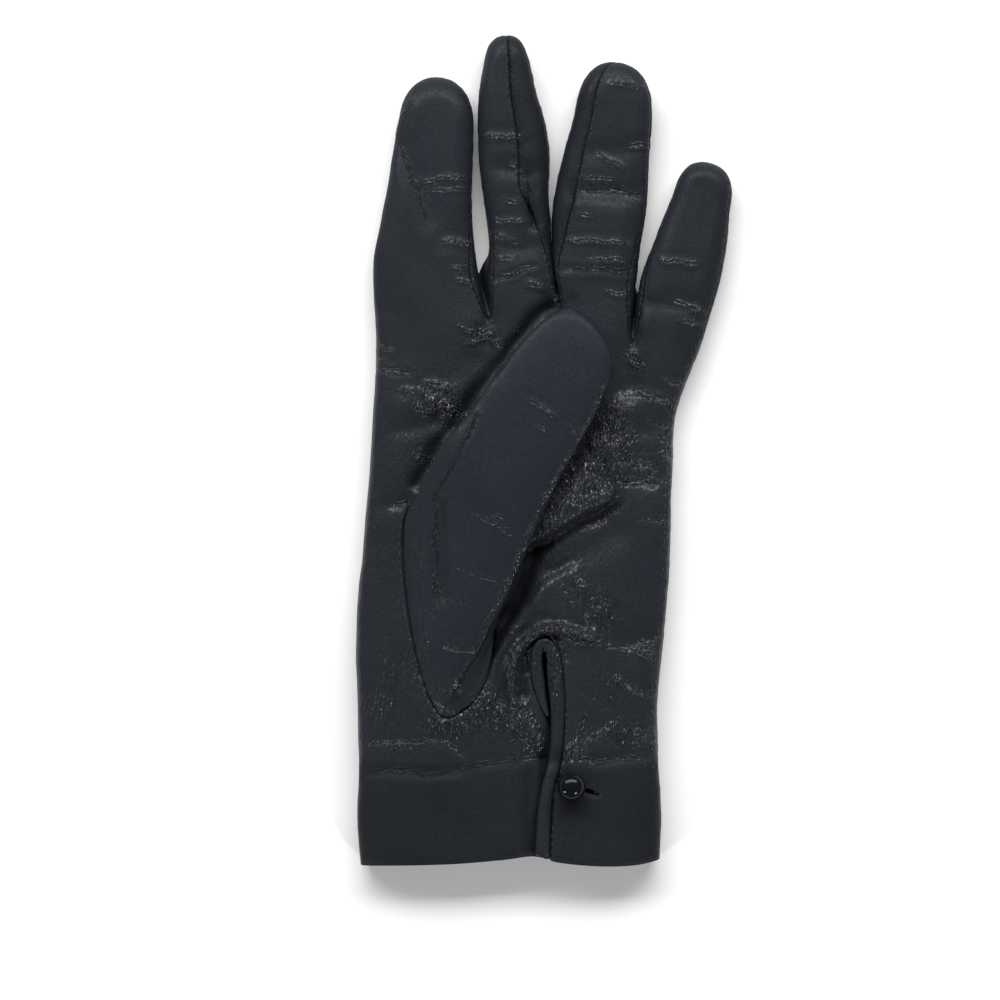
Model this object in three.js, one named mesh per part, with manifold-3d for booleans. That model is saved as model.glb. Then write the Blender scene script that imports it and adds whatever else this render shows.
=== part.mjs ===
// Wrist length dress glove of thin kid leather, for the left hand, lying flat with the palm up.
// Millimetres. +Y runs from the hem to the fingertips, +X to the little finger side, +Z up out of the palm.
// Each leather is first drawn as an open skin, its outer face, and then given its wall inwards.
import * as THREE from "three";
import Module from "manifold-3d";

const wasm = await Module();
wasm.setup();

// Hand of the glove
const PALM_LENGTH = 127; // hem to the finger crotches, palm side
const HAND_WIDTH = 72;
const WRIST_HEIGHT = 10.8; // lying flat, hem end
const PALM_HEIGHT = 8.6; // lying flat, at the finger crotches
const EDGE_HEIGHT = 2.9; // where the side folds bulge furthest
const WEB_RISE = 11; // how much further up the webs end on the back than in the palm
const PALM_ROLL = 4; // exponent of the palm's section: flat in the middle, rolled at the sides
const BACK_ROLL = 9;
const BACK_PRESS = 1.12; // how hard the back lies on the ground, of the edge height

// Leather
const LEATHER = 1;
const HEM_LEATHER = 1.8; // turned and glued double
const HEM_DEPTH = 24;
const SEAM_GAP = 0.3;
const LAY_GAP = 0.45; // under a leather that lies on another
const HEM_STEP = 0.008; // from the turned leather to the single one, of the palm length
const MITRE_LIMIT = 0.4; // least share of a full step that a sharp corner draws back by

// Fingers
const FINGER_HEIGHT = 8.2;
const INDEX_LENGTH = 57.2;
const MIDDLE_LENGTH = 65.8;
const RING_LENGTH = 61.9;
const LITTLE_LENGTH = 43.7;
const INDEX_WIDTH = 24;
const MIDDLE_WIDTH = 17;
const RING_WIDTH = 22.5;
const LITTLE_WIDTH = 18.5;
const FOURCHETTE_ANGLE = 38; // degrees from the finger's side to its seams
const FINGER_ROUNDNESS = 0.85; // exponent of the fingers' section: 1 is an ellipse
const FINGER_CROWN = 0.56; // rise of the top over the axis, of the finger height
const TIP_HEIGHT = 0.3; // of the finger height
const TIP_LIFT = 0.12; // how far the tip rises from the ground as it thins
const BLEND_SHARE = 0.4; // of the length: up to here a finger blends into the hand

// Thumb
const THUMB_LENGTH = 99.5; // foot of the thumb hole to the thumb tip
const THUMB_WIDTH = 26;
const THUMB_HEIGHT = 7.4;
const THUMB_ROUNDNESS = 0.9; // exponent of the thumb's section in plan
const THUMB_TOP_ROLL = 0.7; // exponent of its upper side
const THUMB_LOW_ROLL = 0.5;
const THUMB_TUCK = 0.6; // how far its lower end reaches into the thumb hole, of the leather's wall

// Vent, binding and button
const VENT_LENGTH = 50;
const BINDING_WIDTH = 3.4;
const BINDING_RISE = 0.9; // proud of the leather beside it
const BINDING_SINK = 0.2; // its edges, below the leather's face
const BUTTON_DIAMETER = 6.8;
const SHANK_DIAMETER = 1;
const BALL_SETTLE = 0.96; // height of the ball's centre over the leather, of its radius
const BUTTONHOLE_LENGTH = 12.9;
const BUTTONHOLE_WIDTH = 1.7;
const BUTTONHOLE_TAPER = 0.9; // at each end
const TAB_LENGTH = 22;
const TAB_WIDTH = 27;

// Sides of the hand: along is a share of the palm length, left and right of the hand width
const SIDES = [
  { along: -0.05, left: -0.484, right: 0.486 },
  { along: 0, left: -0.485, right: 0.486 },
  { along: 0.08, left: -0.494, right: 0.49 },
  { along: 0.2, left: -0.49, right: 0.482 },
  { along: 0.3, left: -0.496, right: 0.478 },
  { along: 0.4, left: -0.5, right: 0.495 },
  { along: 0.48, left: -0.494, right: 0.511 },
  { along: 0.6, left: -0.476, right: 0.52 },
  { along: 0.71, left: -0.458, right: 0.526 },
  { along: 0.82, left: -0.446, right: 0.535 },
  { along: 0.88, left: -0.438, right: 0.567 },
  { along: 0.945, left: -0.434, right: 0.614 },
  { along: 1, left: -0.437, right: 0.646 },
  { along: 1.06, left: -0.443, right: 0.68 },
];

// Hem, a share of the palm length up from the lowest point, across from the index side
const HEM = [
  { across: 0, along: 0 },
  { across: 0.3, along: 0.004 },
  { across: 0.48, along: 0.012 },
  { across: 0.58, along: 0.018 },
  { across: 0.66, along: 0.007 },
  { across: 0.8, along: 0 },
  { across: 0.92, along: 0.002 },
  { across: 1, along: 0.011 },
];

// Ends of the four finger strips, from the index side: at the hem, in the palm and on the back
const STRIPS = [
  { hem: 0, palm: 0, palmAlong: 1, back: 0, backAlong: 1 },
  { hem: 0.29, palm: 0.343, palmAlong: 1, back: 0.3, backAlong: 1.007 },
  { hem: 0.52, palm: 0.545, palmAlong: 1.031, back: 0.52, backAlong: 1 },
  { hem: 0.76, palm: 0.785, palmAlong: 0.957, back: 0.765, backAlong: 0.982 },
  { hem: 1, palm: 1, palmAlong: 0.957, back: 1, backAlong: 0.957 },
];

// Fingers from the index side. Base is where the axis starts, in shares of the hand width and palm length,
// lean is degrees to the little finger side, twist turns the seams about the axis, and each section gives
// its place along the length, and its shift and half width as shares of the width.
const FINGERS = [
  {
    length: INDEX_LENGTH, width: INDEX_WIDTH, baseX: -0.29, baseY: 1, lean: 4.3, twist: -25,
    sections: [
      { along: 0, shift: 0.06, half: 0.53 },
      { along: 0.228, shift: 0, half: 0.504 },
      { along: 0.404, shift: -0.005, half: 0.446 },
      { along: 0.579, shift: 0, half: 0.402 },
      { along: 0.754, shift: 0.002, half: 0.378 },
      { along: 0.842, shift: 0.006, half: 0.362 },
      { along: 1, shift: 0, half: 0.35 },
    ],
  },
  {
    length: MIDDLE_LENGTH, width: MIDDLE_WIDTH, baseX: 0.044, baseY: 1.008, lean: -3.7, twist: 47,
    sections: [
      { along: 0, shift: -0.03, half: 0.44 },
      { along: 0.183, shift: -0.04, half: 0.4 },
      { along: 0.259, shift: -0.005, half: 0.4 },
      { along: 0.335, shift: 0, half: 0.424 },
      { along: 0.411, shift: 0, half: 0.452 },
      { along: 0.563, shift: 0.01, half: 0.486 },
      { along: 0.639, shift: 0.008, half: 0.475 },
      { along: 0.715, shift: -0.01, half: 0.445 },
      { along: 0.79, shift: -0.03, half: 0.394 },
      { along: 0.898, shift: -0.015, half: 0.335 },
      { along: 1, shift: 0, half: 0.32 },
    ],
  },
  {
    length: RING_LENGTH, width: RING_WIDTH, baseX: 0.236, baseY: 0.992, lean: 8, twist: -22,
    sections: [
      { along: 0, shift: 0.075, half: 0.385 },
      { along: 0.22, shift: 0.062, half: 0.412 },
      { along: 0.31, shift: 0.034, half: 0.445 },
      { along: 0.39, shift: 0.012, half: 0.472 },
      { along: 0.473, shift: 0.002, half: 0.484 },
      { along: 0.56, shift: 0.002, half: 0.47 },
      { along: 0.72, shift: 0.012, half: 0.425 },
      { along: 0.8, shift: 0.015, half: 0.402 },
      { along: 1, shift: 0, half: 0.37 },
    ],
  },
  {
    length: LITTLE_LENGTH, width: LITTLE_WIDTH, baseX: 0.494, baseY: 0.957, lean: 14.6, twist: 24,
    sections: [
      { along: 0, shift: 0.01, half: 0.5 },
      { along: 0.366, shift: 0.018, half: 0.488 },
      { along: 0.44, shift: 0.025, half: 0.474 },
      { along: 0.556, shift: 0.032, half: 0.444 },
      { along: 0.674, shift: 0.03, half: 0.415 },
      { along: 0.82, shift: 0.02, half: 0.37 },
      { along: 1, shift: 0, half: 0.35 },
    ],
  },
];
const TIP_START = 0.82; // of the finger's length: from here the outline rounds off
const TWIST_START = 0.2; // of the length: below this the seams lie square
const TWIST_SPAN = 0.25;

// Folds and dents of the leather: x in shares of the hand width, y of the palm length, wide of the hand
// width, and rise in shares of the palm height, downwards where it is below zero
const FOLDS = [
  { what: "ridge left of the vent", x1: 0.008, y1: 0.33, x2: 0.03, y2: 0.39, wide: 0.026, rise: 0.1 },
  { what: "ridge over the vent", x1: 0.035, y1: 0.405, x2: 0.115, y2: 0.43, wide: 0.026, rise: 0.12 },
  { what: "ridge right of the vent", x1: 0.135, y1: 0.43, x2: 0.235, y2: 0.418, wide: 0.03, rise: 0.1 },
  { what: "valley along the thumb, low", x1: -0.13, y1: 0.32, x2: -0.03, y2: 0.45, wide: 0.04, rise: -0.18 },
  { what: "valley along the thumb, high", x1: -0.01, y1: 0.47, x2: 0.09, y2: 0.59, wide: 0.045, rise: -0.24 },
  { what: "crumple right of the thumb", x1: 0.13, y1: 0.6, x2: 0.3, y2: 0.67, wide: 0.045, rise: 0.16 },
  { what: "crumple up the palm", x1: 0.34, y1: 0.71, x2: 0.37, y2: 0.83, wide: 0.045, rise: 0.15 },
  { what: "hollow under the crumple", x1: 0.16, y1: 0.55, x2: 0.33, y2: 0.61, wide: 0.06, rise: -0.16 },
  { what: "hem crease, index side", x1: -0.46, y1: 0.174, x2: -0.14, y2: 0.176, wide: 0.024, rise: -0.08 },
  { what: "hem crease, button side", x1: -0.08, y1: 0.19, x2: 0.45, y2: 0.197, wide: 0.024, rise: -0.08 },
  { what: "crease at the thumb crotch", x1: -0.4, y1: 0.662, x2: -0.33, y2: 0.672, wide: 0.03, rise: -0.12 },
  { what: "crumple over the thumb crotch", x1: -0.34, y1: 0.84, x2: -0.17, y2: 0.87, wide: 0.04, rise: 0.12 },
  { what: "crease above it", x1: -0.36, y1: 0.8, x2: -0.24, y2: 0.81, wide: 0.03, rise: -0.12 },
  { what: "side crease, low", x1: 0.38, y1: 0.41, x2: 0.5, y2: 0.43, wide: 0.03, rise: -0.12 },
  { what: "side crease, middle", x1: 0.34, y1: 0.695, x2: 0.52, y2: 0.705, wide: 0.032, rise: -0.16 },
  { what: "side crease, high", x1: 0.38, y1: 0.8, x2: 0.54, y2: 0.8, wide: 0.03, rise: -0.12 },
  { what: "little finger crease, low", x1: 0.42, y1: 0.88, x2: 0.56, y2: 0.87, wide: 0.03, rise: -0.12 },
  { what: "little finger crease, high", x1: 0.45, y1: 1.03, x2: 0.62, y2: 1.03, wide: 0.03, rise: -0.13 },
  { what: "crotch dent, index", x1: -0.08, y1: 0.93, x2: -0.066, y2: 1, wide: 0.05, rise: -0.24 },
  { what: "crotch dent, middle", x1: 0.14, y1: 0.95, x2: 0.153, y2: 1.03, wide: 0.05, rise: -0.24 },
  { what: "crotch dent, ring", x1: 0.38, y1: 0.88, x2: 0.39, y2: 0.957, wide: 0.05, rise: -0.24 },
  { what: "index dent", x1: -0.34, y1: 1.31, x2: -0.2, y2: 1.16, wide: 0.05, rise: -0.14 },
  { what: "middle crease, low", x1: -0.02, y1: 1.13, x2: 0.11, y2: 1.14, wide: 0.03, rise: -0.12 },
  { what: "middle crease, high", x1: -0.05, y1: 1.28, x2: 0.12, y2: 1.27, wide: 0.03, rise: -0.14 },
  { what: "ring fold", x1: 0.22, y1: 1.235, x2: 0.4, y2: 1.23, wide: 0.034, rise: -0.2 },
  { what: "ring crease", x1: 0.26, y1: 1.31, x2: 0.43, y2: 1.31, wide: 0.03, rise: -0.1 },
];

// Thumb sections from the thumb hole to the tip: centre from the foot of the hole in shares of the thumb
// length, half length in shares of the thumb width, turn of the section in degrees, how far its upper and
// lower sides swing out to the index side and to the palm, and its rise in shares of the thumb height
const THUMB_SECTIONS = [
  { x: -0.038, y: 0.254, half: 0.98, turn: -81.6, over: 0.2, under: 0.55, rise: 0 },
  { x: -0.038, y: 0.254, half: 0.98, turn: -81.6, over: 0.2, under: 0.55, rise: 0.04 },
  { x: -0.017, y: 0.309, half: 0.907, turn: -80.2, over: 0.06, under: 0.44, rise: 0.78 },
  { x: 0.019, y: 0.377, half: 0.869, turn: -76.9, over: 0, under: 0.33, rise: 0.95 },
  { x: 0.06, y: 0.45, half: 0.783, turn: -70.9, over: 0, under: 0.16, rise: 1 },
  { x: 0.098, y: 0.518, half: 0.679, turn: -65, over: 0, under: 0.06, rise: 1 },
  { x: 0.135, y: 0.589, half: 0.565, turn: -54.6, over: 0, under: 0, rise: 1 },
  { x: 0.168, y: 0.651, half: 0.508, turn: -44.5, over: 0, under: 0, rise: 1 },
  { x: 0.2, y: 0.706, half: 0.483, turn: -35.5, over: 0, under: 0, rise: 1 },
  { x: 0.233, y: 0.756, half: 0.465, turn: -26.5, over: 0, under: 0, rise: 1 },
  { x: 0.26, y: 0.806, half: 0.454, turn: -19.6, over: 0, under: 0, rise: 0.97 },
  { x: 0.282, y: 0.857, half: 0.408, turn: -15, over: 0, under: 0, rise: 0.92 },
  { x: 0.29, y: 0.896, half: 0.32, turn: -12.9, over: 0, under: 0, rise: 0.8 },
  { x: 0.289, y: 0.936, half: 0.172, turn: -8.4, over: 0, under: 0, rise: 0.6 },
];
const THUMB_FOOT = { x: -0.205, y: 0.27 }; // of the hand width and the palm length
const THUMB_TIP = { x: 0.289, y: 0.957 }; // from the foot, of the thumb length

// Centre line of the vent binding, from the slit's closed edge round its top and down to the hem:
// x and y from the middle of the hem in shares of the vent length, half in shares of the binding width
const BINDING = [
  { x: 0.178, y: 0.7, half: 0.12 },
  { x: 0.145, y: 0.79, half: 0.17 },
  { x: 0.124, y: 0.88, half: 0.22 },
  { x: 0.122, y: 0.96, half: 0.26 },
  { x: 0.146, y: 1.012, half: 0.28 },
  { x: 0.186, y: 1.006, half: 0.36 },
  { x: 0.21, y: 0.94, half: 0.47 },
  { x: 0.22, y: 0.84, half: 0.5 },
  { x: 0.227, y: 0.72, half: 0.46 },
  { x: 0.218, y: 0.58, half: 0.44 },
  { x: 0.206, y: 0.48, half: 0.46 },
  { x: 0.17, y: 0.34, half: 0.42 },
  { x: 0.156, y: 0.2, half: 0.48 },
  { x: 0.15, y: 0.045, half: 0.52 },
];
// Free edge of the leather on the other side of the vent, down from the slit's closed end
const VENT_EDGE = [
  { x: 0.165, y: 0.66 },
  { x: 0.172, y: 0.6 },
  { x: 0.16, y: 0.5 },
  { x: 0.1, y: 0.42 },
  { x: 0.072, y: 0.34 },
  { x: 0.06, y: 0.112 },
  { x: 0.098, y: 0.05 },
  { x: 0.1, y: -0.05 },
];
const BUTTON_PLACE = { x: 0.197, y: 0.148 }; // of the hand width and the palm length
const BUTTONHOLE_SHIFT = 0.08; // of its length, from the button towards the little finger side
const BUTTONHOLE_TURN = -17; // degrees
const TAB_SHIFT = -0.21; // of its width, from the button towards the index side

// Mesh resolution
const PALM_ROWS = 24; // from the hem band to the crotches
const HEM_ROWS = 5;
const FINGER_ROWS = [0.07, 0.15, 0.24, 0.34, 0.45, 0.56, 0.67, 0.77, 0.85, 0.915, 0.965];
const FOURCHETTE_ROWS = 10; // of the finger rows, then the leather closes round the tip
const SIDE_CELLS = 3;
const FRONT_EDGE = [0, 0.03, 0.1, 0.22, 0.37, 0.53, 0.69, 0.84, 1];
const FRONT_INNER = [0, 0.167, 0.333, 0.5, 0.667, 0.833, 1];
const BACK_EDGE = [0, 0.05, 0.2, 0.46, 0.73, 1];
const BACK_INNER = [0, 0.25, 0.5, 0.75, 1];
const THUMB_OVER_CELLS = 11;
const THUMB_UNDER_CELLS = 8;
const BUTTON_SIDES = 20;
const BUTTON_ROWS = 10;

const HALF_TURN = 180;
const FULL_TURN = 360;
const radians = (degrees) => (degrees * Math.PI) / HALF_TURN;
const mix = (a, b, t) => a + (b - a) * t;
const clamp = (t) => Math.min(1, Math.max(0, t));
const power = (value, exponent) => Math.sign(value) * Math.abs(value) ** exponent;

// The value of one column of a table at a place between its rows, on a smooth curve through them.
function read(table, by, column, at) {
  const last = table.length - 1;
  let i = 0;
  while (i < last - 1 && at > table[i + 1][by]) i += 1;
  const t = clamp((at - table[i][by]) / (table[i + 1][by] - table[i][by]));
  const slope = (k) => {
    const a = Math.max(0, k - 1);
    const b = Math.min(last, k + 1);
    return (table[b][column] - table[a][column]) / (table[b][by] - table[a][by]);
  };
  const span = table[i + 1][by] - table[i][by];
  const t2 = t * t;
  const t3 = t2 * t;
  return (
    (2 * t3 - 3 * t2 + 1) * table[i][column] +
    (t3 - 2 * t2 + t) * span * slope(i) +
    (3 * t2 - 2 * t3) * table[i + 1][column] +
    (t3 - t2) * span * slope(i + 1)
  );
}

// Sum of the folds at a point, each one a soft ridge or groove along its line.
function foldRise(x, y) {
  let rise = 0;
  for (const fold of FOLDS) {
    const start = new THREE.Vector2(fold.x1 * HAND_WIDTH, fold.y1 * PALM_LENGTH);
    const run = new THREE.Vector2(fold.x2 * HAND_WIDTH, fold.y2 * PALM_LENGTH).sub(start);
    const from = new THREE.Vector2(x, y).sub(start);
    const t = clamp(from.dot(run) / run.lengthSq());
    const away = from.sub(run.multiplyScalar(t)).length() / (fold.wide * HAND_WIDTH);
    rise += fold.rise * PALM_HEIGHT * Math.exp(-away * away);
  }
  return rise;
}

const sideAt = (y, side) => HAND_WIDTH * read(SIDES, "along", side, y / PALM_LENGTH);

// How far a point lies from the middle of the hand (0) towards its side folds (1).
function offMiddle(x, y) {
  const left = sideAt(y, "left");
  const right = sideAt(y, "right");
  const off = Math.abs((2 * x - left - right) / (right - left));
  return off > 1 - 1e-5 ? 1 : off;
}

// Height of the palm's outer face above the ground.
function palmHeight(x, y) {
  const off = offMiddle(x, y);
  const top = mix(WRIST_HEIGHT, PALM_HEIGHT, clamp(y / (0.5 * PALM_LENGTH)));
  const roll = (1 - off ** PALM_ROLL) ** (1 / PALM_ROLL);
  return EDGE_HEIGHT + (top - EDGE_HEIGHT + foldRise(x, y)) * roll;
}

// Height of the back's outer face: flat on the ground but for the rolled sides.
function backHeight(x, y) {
  const flat = (1 - offMiddle(x, y) ** BACK_ROLL) ** (1 / BACK_ROLL);
  return Math.max(0, EDGE_HEIGHT * (1 - BACK_PRESS * flat));
}

// A point of the hand between the hem (up = 0) and the finger crotches (up = 1). strip is the finger strip
// and part the place across it.
function handPoint(face, strip, part, up) {
  const from = STRIPS[strip];
  const to = STRIPS[strip + 1];
  const across = mix(mix(from.hem, to.hem, part), mix(from[face], to[face], part), up);
  const end = mix(from[face + "Along"], to[face + "Along"], part) * PALM_LENGTH;
  const web = face === "back" ? WEB_RISE * Math.sin(Math.PI * clamp(across)) ** 0.5 : 0;
  const start = read(HEM, "across", "along", across) * PALM_LENGTH;
  const y = mix(start, end + web, up);
  const x = mix(sideAt(y, "left"), sideAt(y, "right"), across);
  return new THREE.Vector3(x, y, face === "back" ? backHeight(x, y) : palmHeight(x, y));
}

// A point of a finger's skin at a share of its length, at an angle about its axis from the right side over
// the top.
function fingerPoint(finger, along, angle) {
  const lean = radians(finger.lean);
  const tip = clamp((along - TIP_START) / (1 - TIP_START));
  const narrow = Math.sqrt(Math.max(0, 1 - tip * tip));
  const half = read(finger.sections, "along", "half", along) * finger.width * narrow;
  const shift = read(finger.sections, "along", "shift", along) * finger.width;
  const height = FINGER_HEIGHT * mix(TIP_HEIGHT, 1, narrow);
  const turned = radians(angle + finger.twist * clamp((along - TWIST_START) / TWIST_SPAN));
  const out = power(Math.cos(turned), FINGER_ROUNDNESS) * half + shift;
  const crown = height * (0.5 + FINGER_CROWN * power(Math.sin(turned), FINGER_ROUNDNESS));
  const up = crown + TIP_LIFT * (FINGER_HEIGHT - height);
  const reach = along * finger.length;
  const x = finger.baseX * HAND_WIDTH + Math.sin(lean) * reach + Math.cos(lean) * out;
  const y = finger.baseY * PALM_LENGTH + Math.cos(lean) * reach - Math.sin(lean) * out;
  const fold = Math.max(0, Math.sin(turned)) * foldRise(x, y);
  return new THREE.Vector3(x, y, Math.max(0, Math.min(up, FINGER_HEIGHT) + fold));
}

// Collects points and faces, sharing points that lie on each other, and marks each face with its piece.
class Skin {
  constructor() {
    this.points = [];
    this.faces = [];
    this.walls = [];
    this.places = new Map();
  }

  point(p, wall = LEATHER) {
    const key = [p.x, p.y, p.z].map((v) => Math.round(v * 1e4)).join();
    if (!this.places.has(key)) {
      this.places.set(key, this.points.length);
      this.points.push(p.clone());
      this.walls.push(wall);
    }
    return this.places.get(key);
  }

  quad(piece, a, b, c, d) {
    this.triangle(piece, a, b, c);
    this.triangle(piece, a, c, d);
  }

  triangle(piece, a, b, c) {
    if (a !== b && b !== c && a !== c) this.faces.push({ piece, corners: [a, b, c] });
  }

  // Outward direction at each point, over all pieces, so that walls meet squarely at a seam.
  normals() {
    const normals = this.points.map(() => new THREE.Vector3());
    for (const { corners } of this.faces) {
      const [a, b, c] = corners.map((i) => this.points[i]);
      const across = b.clone().sub(a).cross(c.clone().sub(a));
      for (const i of corners) normals[i].add(across);
    }
    return normals.map((n) => n.normalize());
  }

  // The closed solid of one piece: its skin, the same skin a wall further in, and a rim along its edges.
  solid(piece) {
    const normals = this.normals();
    const faces = this.faces.filter((face) => face.piece === piece).map((face) => face.corners);
    const edges = new Map();
    for (const [a, b, c] of faces) {
      for (const [from, to] of [[a, b], [b, c], [c, a]]) {
        if (!edges.delete(to + "," + from)) edges.set(from + "," + to, [from, to]);
      }
    }
    // Edge points draw back by half the seam gap, into the piece.
    const drawn = new Map();
    for (const [from, to] of edges.values()) {
      const run = this.points[to].clone().sub(this.points[from]);
      for (const i of [from, to]) {
        if (!drawn.has(i)) drawn.set(i, new THREE.Vector3());
        drawn.get(i).add(normals[i].clone().cross(run).normalize());
      }
    }
    for (const way of drawn.values()) {
      const bend = Math.max(MITRE_LIMIT, way.length() / 2);
      way.setLength(SEAM_GAP / 2 / bend);
    }
    const used = new Map();
    const positions = [];
    for (const layer of [0, 1]) {
      for (const i of new Set(faces.flat())) {
        const p = this.points[i].clone().addScaledVector(normals[i], -layer * this.walls[i]);
        if (drawn.has(i)) p.add(drawn.get(i));
        used.set(layer + ":" + i, positions.length / 3);
        positions.push(p.x, p.y, Math.max(0, p.z));
      }
    }
    const at = (layer, i) => used.get(layer + ":" + i);
    const index = [];
    for (const [a, b, c] of faces) {
      index.push(at(0, a), at(0, b), at(0, c), at(1, c), at(1, b), at(1, a));
    }
    for (const [from, to] of edges.values()) {
      index.push(at(0, to), at(0, from), at(1, from), at(0, to), at(1, from), at(1, to));
    }
    return manifold(positions, index);
  }
}

function manifold(positions, index) {
  const mesh = new wasm.Mesh({
    numProp: 3,
    vertProperties: new Float32Array(positions),
    triVerts: new Uint32Array(index),
  });
  mesh.merge();
  return new wasm.Manifold(mesh);
}

// An upright cutter or blank over an outline in plan, between two heights.
function upright(outline, low, high) {
  const shape = new THREE.Shape(outline);
  const geometry = new THREE.ExtrudeGeometry(shape, { depth: high - low, bevelEnabled: false });
  geometry.translate(0, 0, low);
  const positions = Array.from(geometry.getAttribute("position").array);
  const index = positions.slice(0, positions.length / 3).map((_, i) => i);
  return manifold(positions, index);
}

// The outline moved outwards, to the right of its direction of travel.
function offset(outline, distance, closed) {
  const count = outline.length;
  return outline.map((p, i) => {
    const before = outline[closed ? (i + count - 1) % count : Math.max(0, i - 1)];
    const after = outline[closed ? (i + 1) % count : Math.min(count - 1, i + 1)];
    const run = after.clone().sub(before).normalize();
    return new THREE.Vector2(p.x + run.y * distance, p.y - run.x * distance);
  });
}

function mesh(name, solid, material) {
  const { vertProperties, triVerts } = solid.getMesh();
  const geometry = new THREE.BufferGeometry();
  geometry.setAttribute("position", new THREE.BufferAttribute(new Float32Array(vertProperties), 3));
  geometry.setIndex(new THREE.BufferAttribute(new Uint32Array(triVerts), 1));
  geometry.computeVertexNormals();
  const piece = new THREE.Mesh(geometry, material);
  piece.name = name;
  return piece;
}

const kid = () => new THREE.MeshStandardMaterial({ color: 0x24282f, roughness: 0.5, metalness: 0 });
const gloss = () => new THREE.MeshStandardMaterial({ color: 0x08090b, roughness: 0.12, metalness: 0 });

// Skin of the hand and fingers, shared by the trank and the fourchettes.
function handSkin() {
  const skin = new Skin();
  const hemUp = HEM_DEPTH / PALM_LENGTH;
  const ups = [];
  for (let i = 0; i <= HEM_ROWS; i += 1) ups.push((hemUp * i) / HEM_ROWS);
  for (let i = 0; i <= PALM_ROWS; i += 1) ups.push(mix(hemUp + HEM_STEP, 1, i / PALM_ROWS));
  const wallAt = (up) => (up <= hemUp ? HEM_LEATHER : LEATHER);
  const mirrored = (parts) => parts.map((part) => 1 - part).reverse();
  const frontParts = [FRONT_EDGE, FRONT_INNER, FRONT_INNER, mirrored(FRONT_EDGE)];
  const backParts = [BACK_EDGE, BACK_INNER, BACK_INNER, mirrored(BACK_EDGE)];
  for (let strip = 0; strip < 4; strip += 1) {
    for (const [face, parts] of [["palm", frontParts[strip]], ["back", backParts[strip]]]) {
      const rows = ups.map((up) =>
        parts.map((part) => skin.point(handPoint(face, strip, part, up), wallAt(up))),
      );
      for (let r = 0; r + 1 < rows.length; r += 1) {
        for (let c = 0; c + 1 < parts.length; c += 1) {
          const ring = [rows[r][c], rows[r][c + 1], rows[r + 1][c + 1], rows[r + 1][c]];
          skin.quad("trank", ...(face === "palm" ? ring : ring.reverse()));
        }
      }
    }
  }
  FINGERS.forEach((finger, f) => addFinger(skin, finger, f, frontParts[f], backParts[f]));
  return skin;
}

const WEB_PIECES = ["fourchette_index_middle", "fourchette_middle_ring", "fourchette_ring_little"];

// One finger, from its place in the hand to its tip. Its columns run from the index side over the front,
// down the right side, across the back and up the left side.
function addFinger(skin, finger, f, frontParts, backParts) {
  const columns = [];
  const first = f === 0;
  const last = f === FINGERS.length - 1;
  const seam = FOURCHETTE_ANGLE;
  const frontFrom = first ? HALF_TURN : HALF_TURN - seam;
  const frontTo = last ? 0 : seam;
  frontParts.forEach((part, i) => {
    const angle = mix(frontFrom, frontTo, i / (frontParts.length - 1));
    columns.push({ base: handPoint("palm", f, part, 1), angle, piece: "trank" });
  });
  const webSide = (piece, edge, sign) => {
    const top = handPoint("palm", f, edge, 1);
    const low = handPoint("back", f, edge, 1);
    const cells = [];
    for (let i = 1; i < SIDE_CELLS; i += 1) {
      const t = i / SIDE_CELLS;
      const angle = sign > 0 ? mix(seam, -seam, t) : mix(HALF_TURN - seam, HALF_TURN + seam, t);
      cells.push({ base: top.clone().lerp(low, t), angle, piece });
    }
    return cells;
  };
  columns[columns.length - 1].piece = last ? "trank" : WEB_PIECES[f];
  if (!last) columns.push(...webSide(WEB_PIECES[f], 1, 1));
  const backFrom = last ? 0 : -seam;
  const backTo = first ? -HALF_TURN : seam - HALF_TURN;
  const skip = last ? 1 : 0;
  backParts.slice(0, backParts.length - skip).reverse().forEach((part, i) => {
    const angle = mix(backFrom, backTo, (i + skip) / (backParts.length - 1));
    columns.push({ base: handPoint("back", f, part, 1), angle, piece: "trank" });
  });
  if (first) columns.pop();
  else {
    columns[columns.length - 1].piece = WEB_PIECES[f - 1];
    const cells = webSide(WEB_PIECES[f - 1], 0, -1).reverse();
    columns.push(...cells.map((cell) => ({ ...cell, angle: cell.angle - FULL_TURN })));
  }

  const lean = radians(finger.lean);
  const root = new THREE.Vector2(finger.baseX * HAND_WIDTH, finger.baseY * PALM_LENGTH);
  const axis = new THREE.Vector2(Math.sin(lean), Math.cos(lean));
  const rows = [columns.map(({ base }) => skin.point(base))];
  for (const share of FINGER_ROWS) {
    rows.push(columns.map(({ base, angle }) => {
      const start = new THREE.Vector2(base.x, base.y).sub(root).dot(axis) / finger.length;
      const along = mix(start, 1, share);
      const fade = clamp(1 - share / BLEND_SHARE) ** 3;
      const pull = base.clone().sub(fingerPoint(finger, start, angle)).multiplyScalar(fade);
      return skin.point(fingerPoint(finger, along, angle).add(pull));
    }));
  }
  rows.forEach((row, r) => {
    if (r === 0) return;
    row.forEach((corner, c) => {
      const next = (c + 1) % row.length;
      const piece = r <= FOURCHETTE_ROWS ? columns[c].piece : "trank";
      skin.quad(piece, rows[r - 1][c], rows[r - 1][next], row[next], corner);
    });
  });
  const end = rows[rows.length - 1];
  const tip = fingerPoint(finger, 1, 90);
  tip.z = 0.5 * (tip.z + fingerPoint(finger, 1, -90).z);
  const pole = skin.point(tip);
  end.forEach((corner, c) => skin.triangle("trank", corner, end[(c + 1) % end.length], pole));
}

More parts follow.
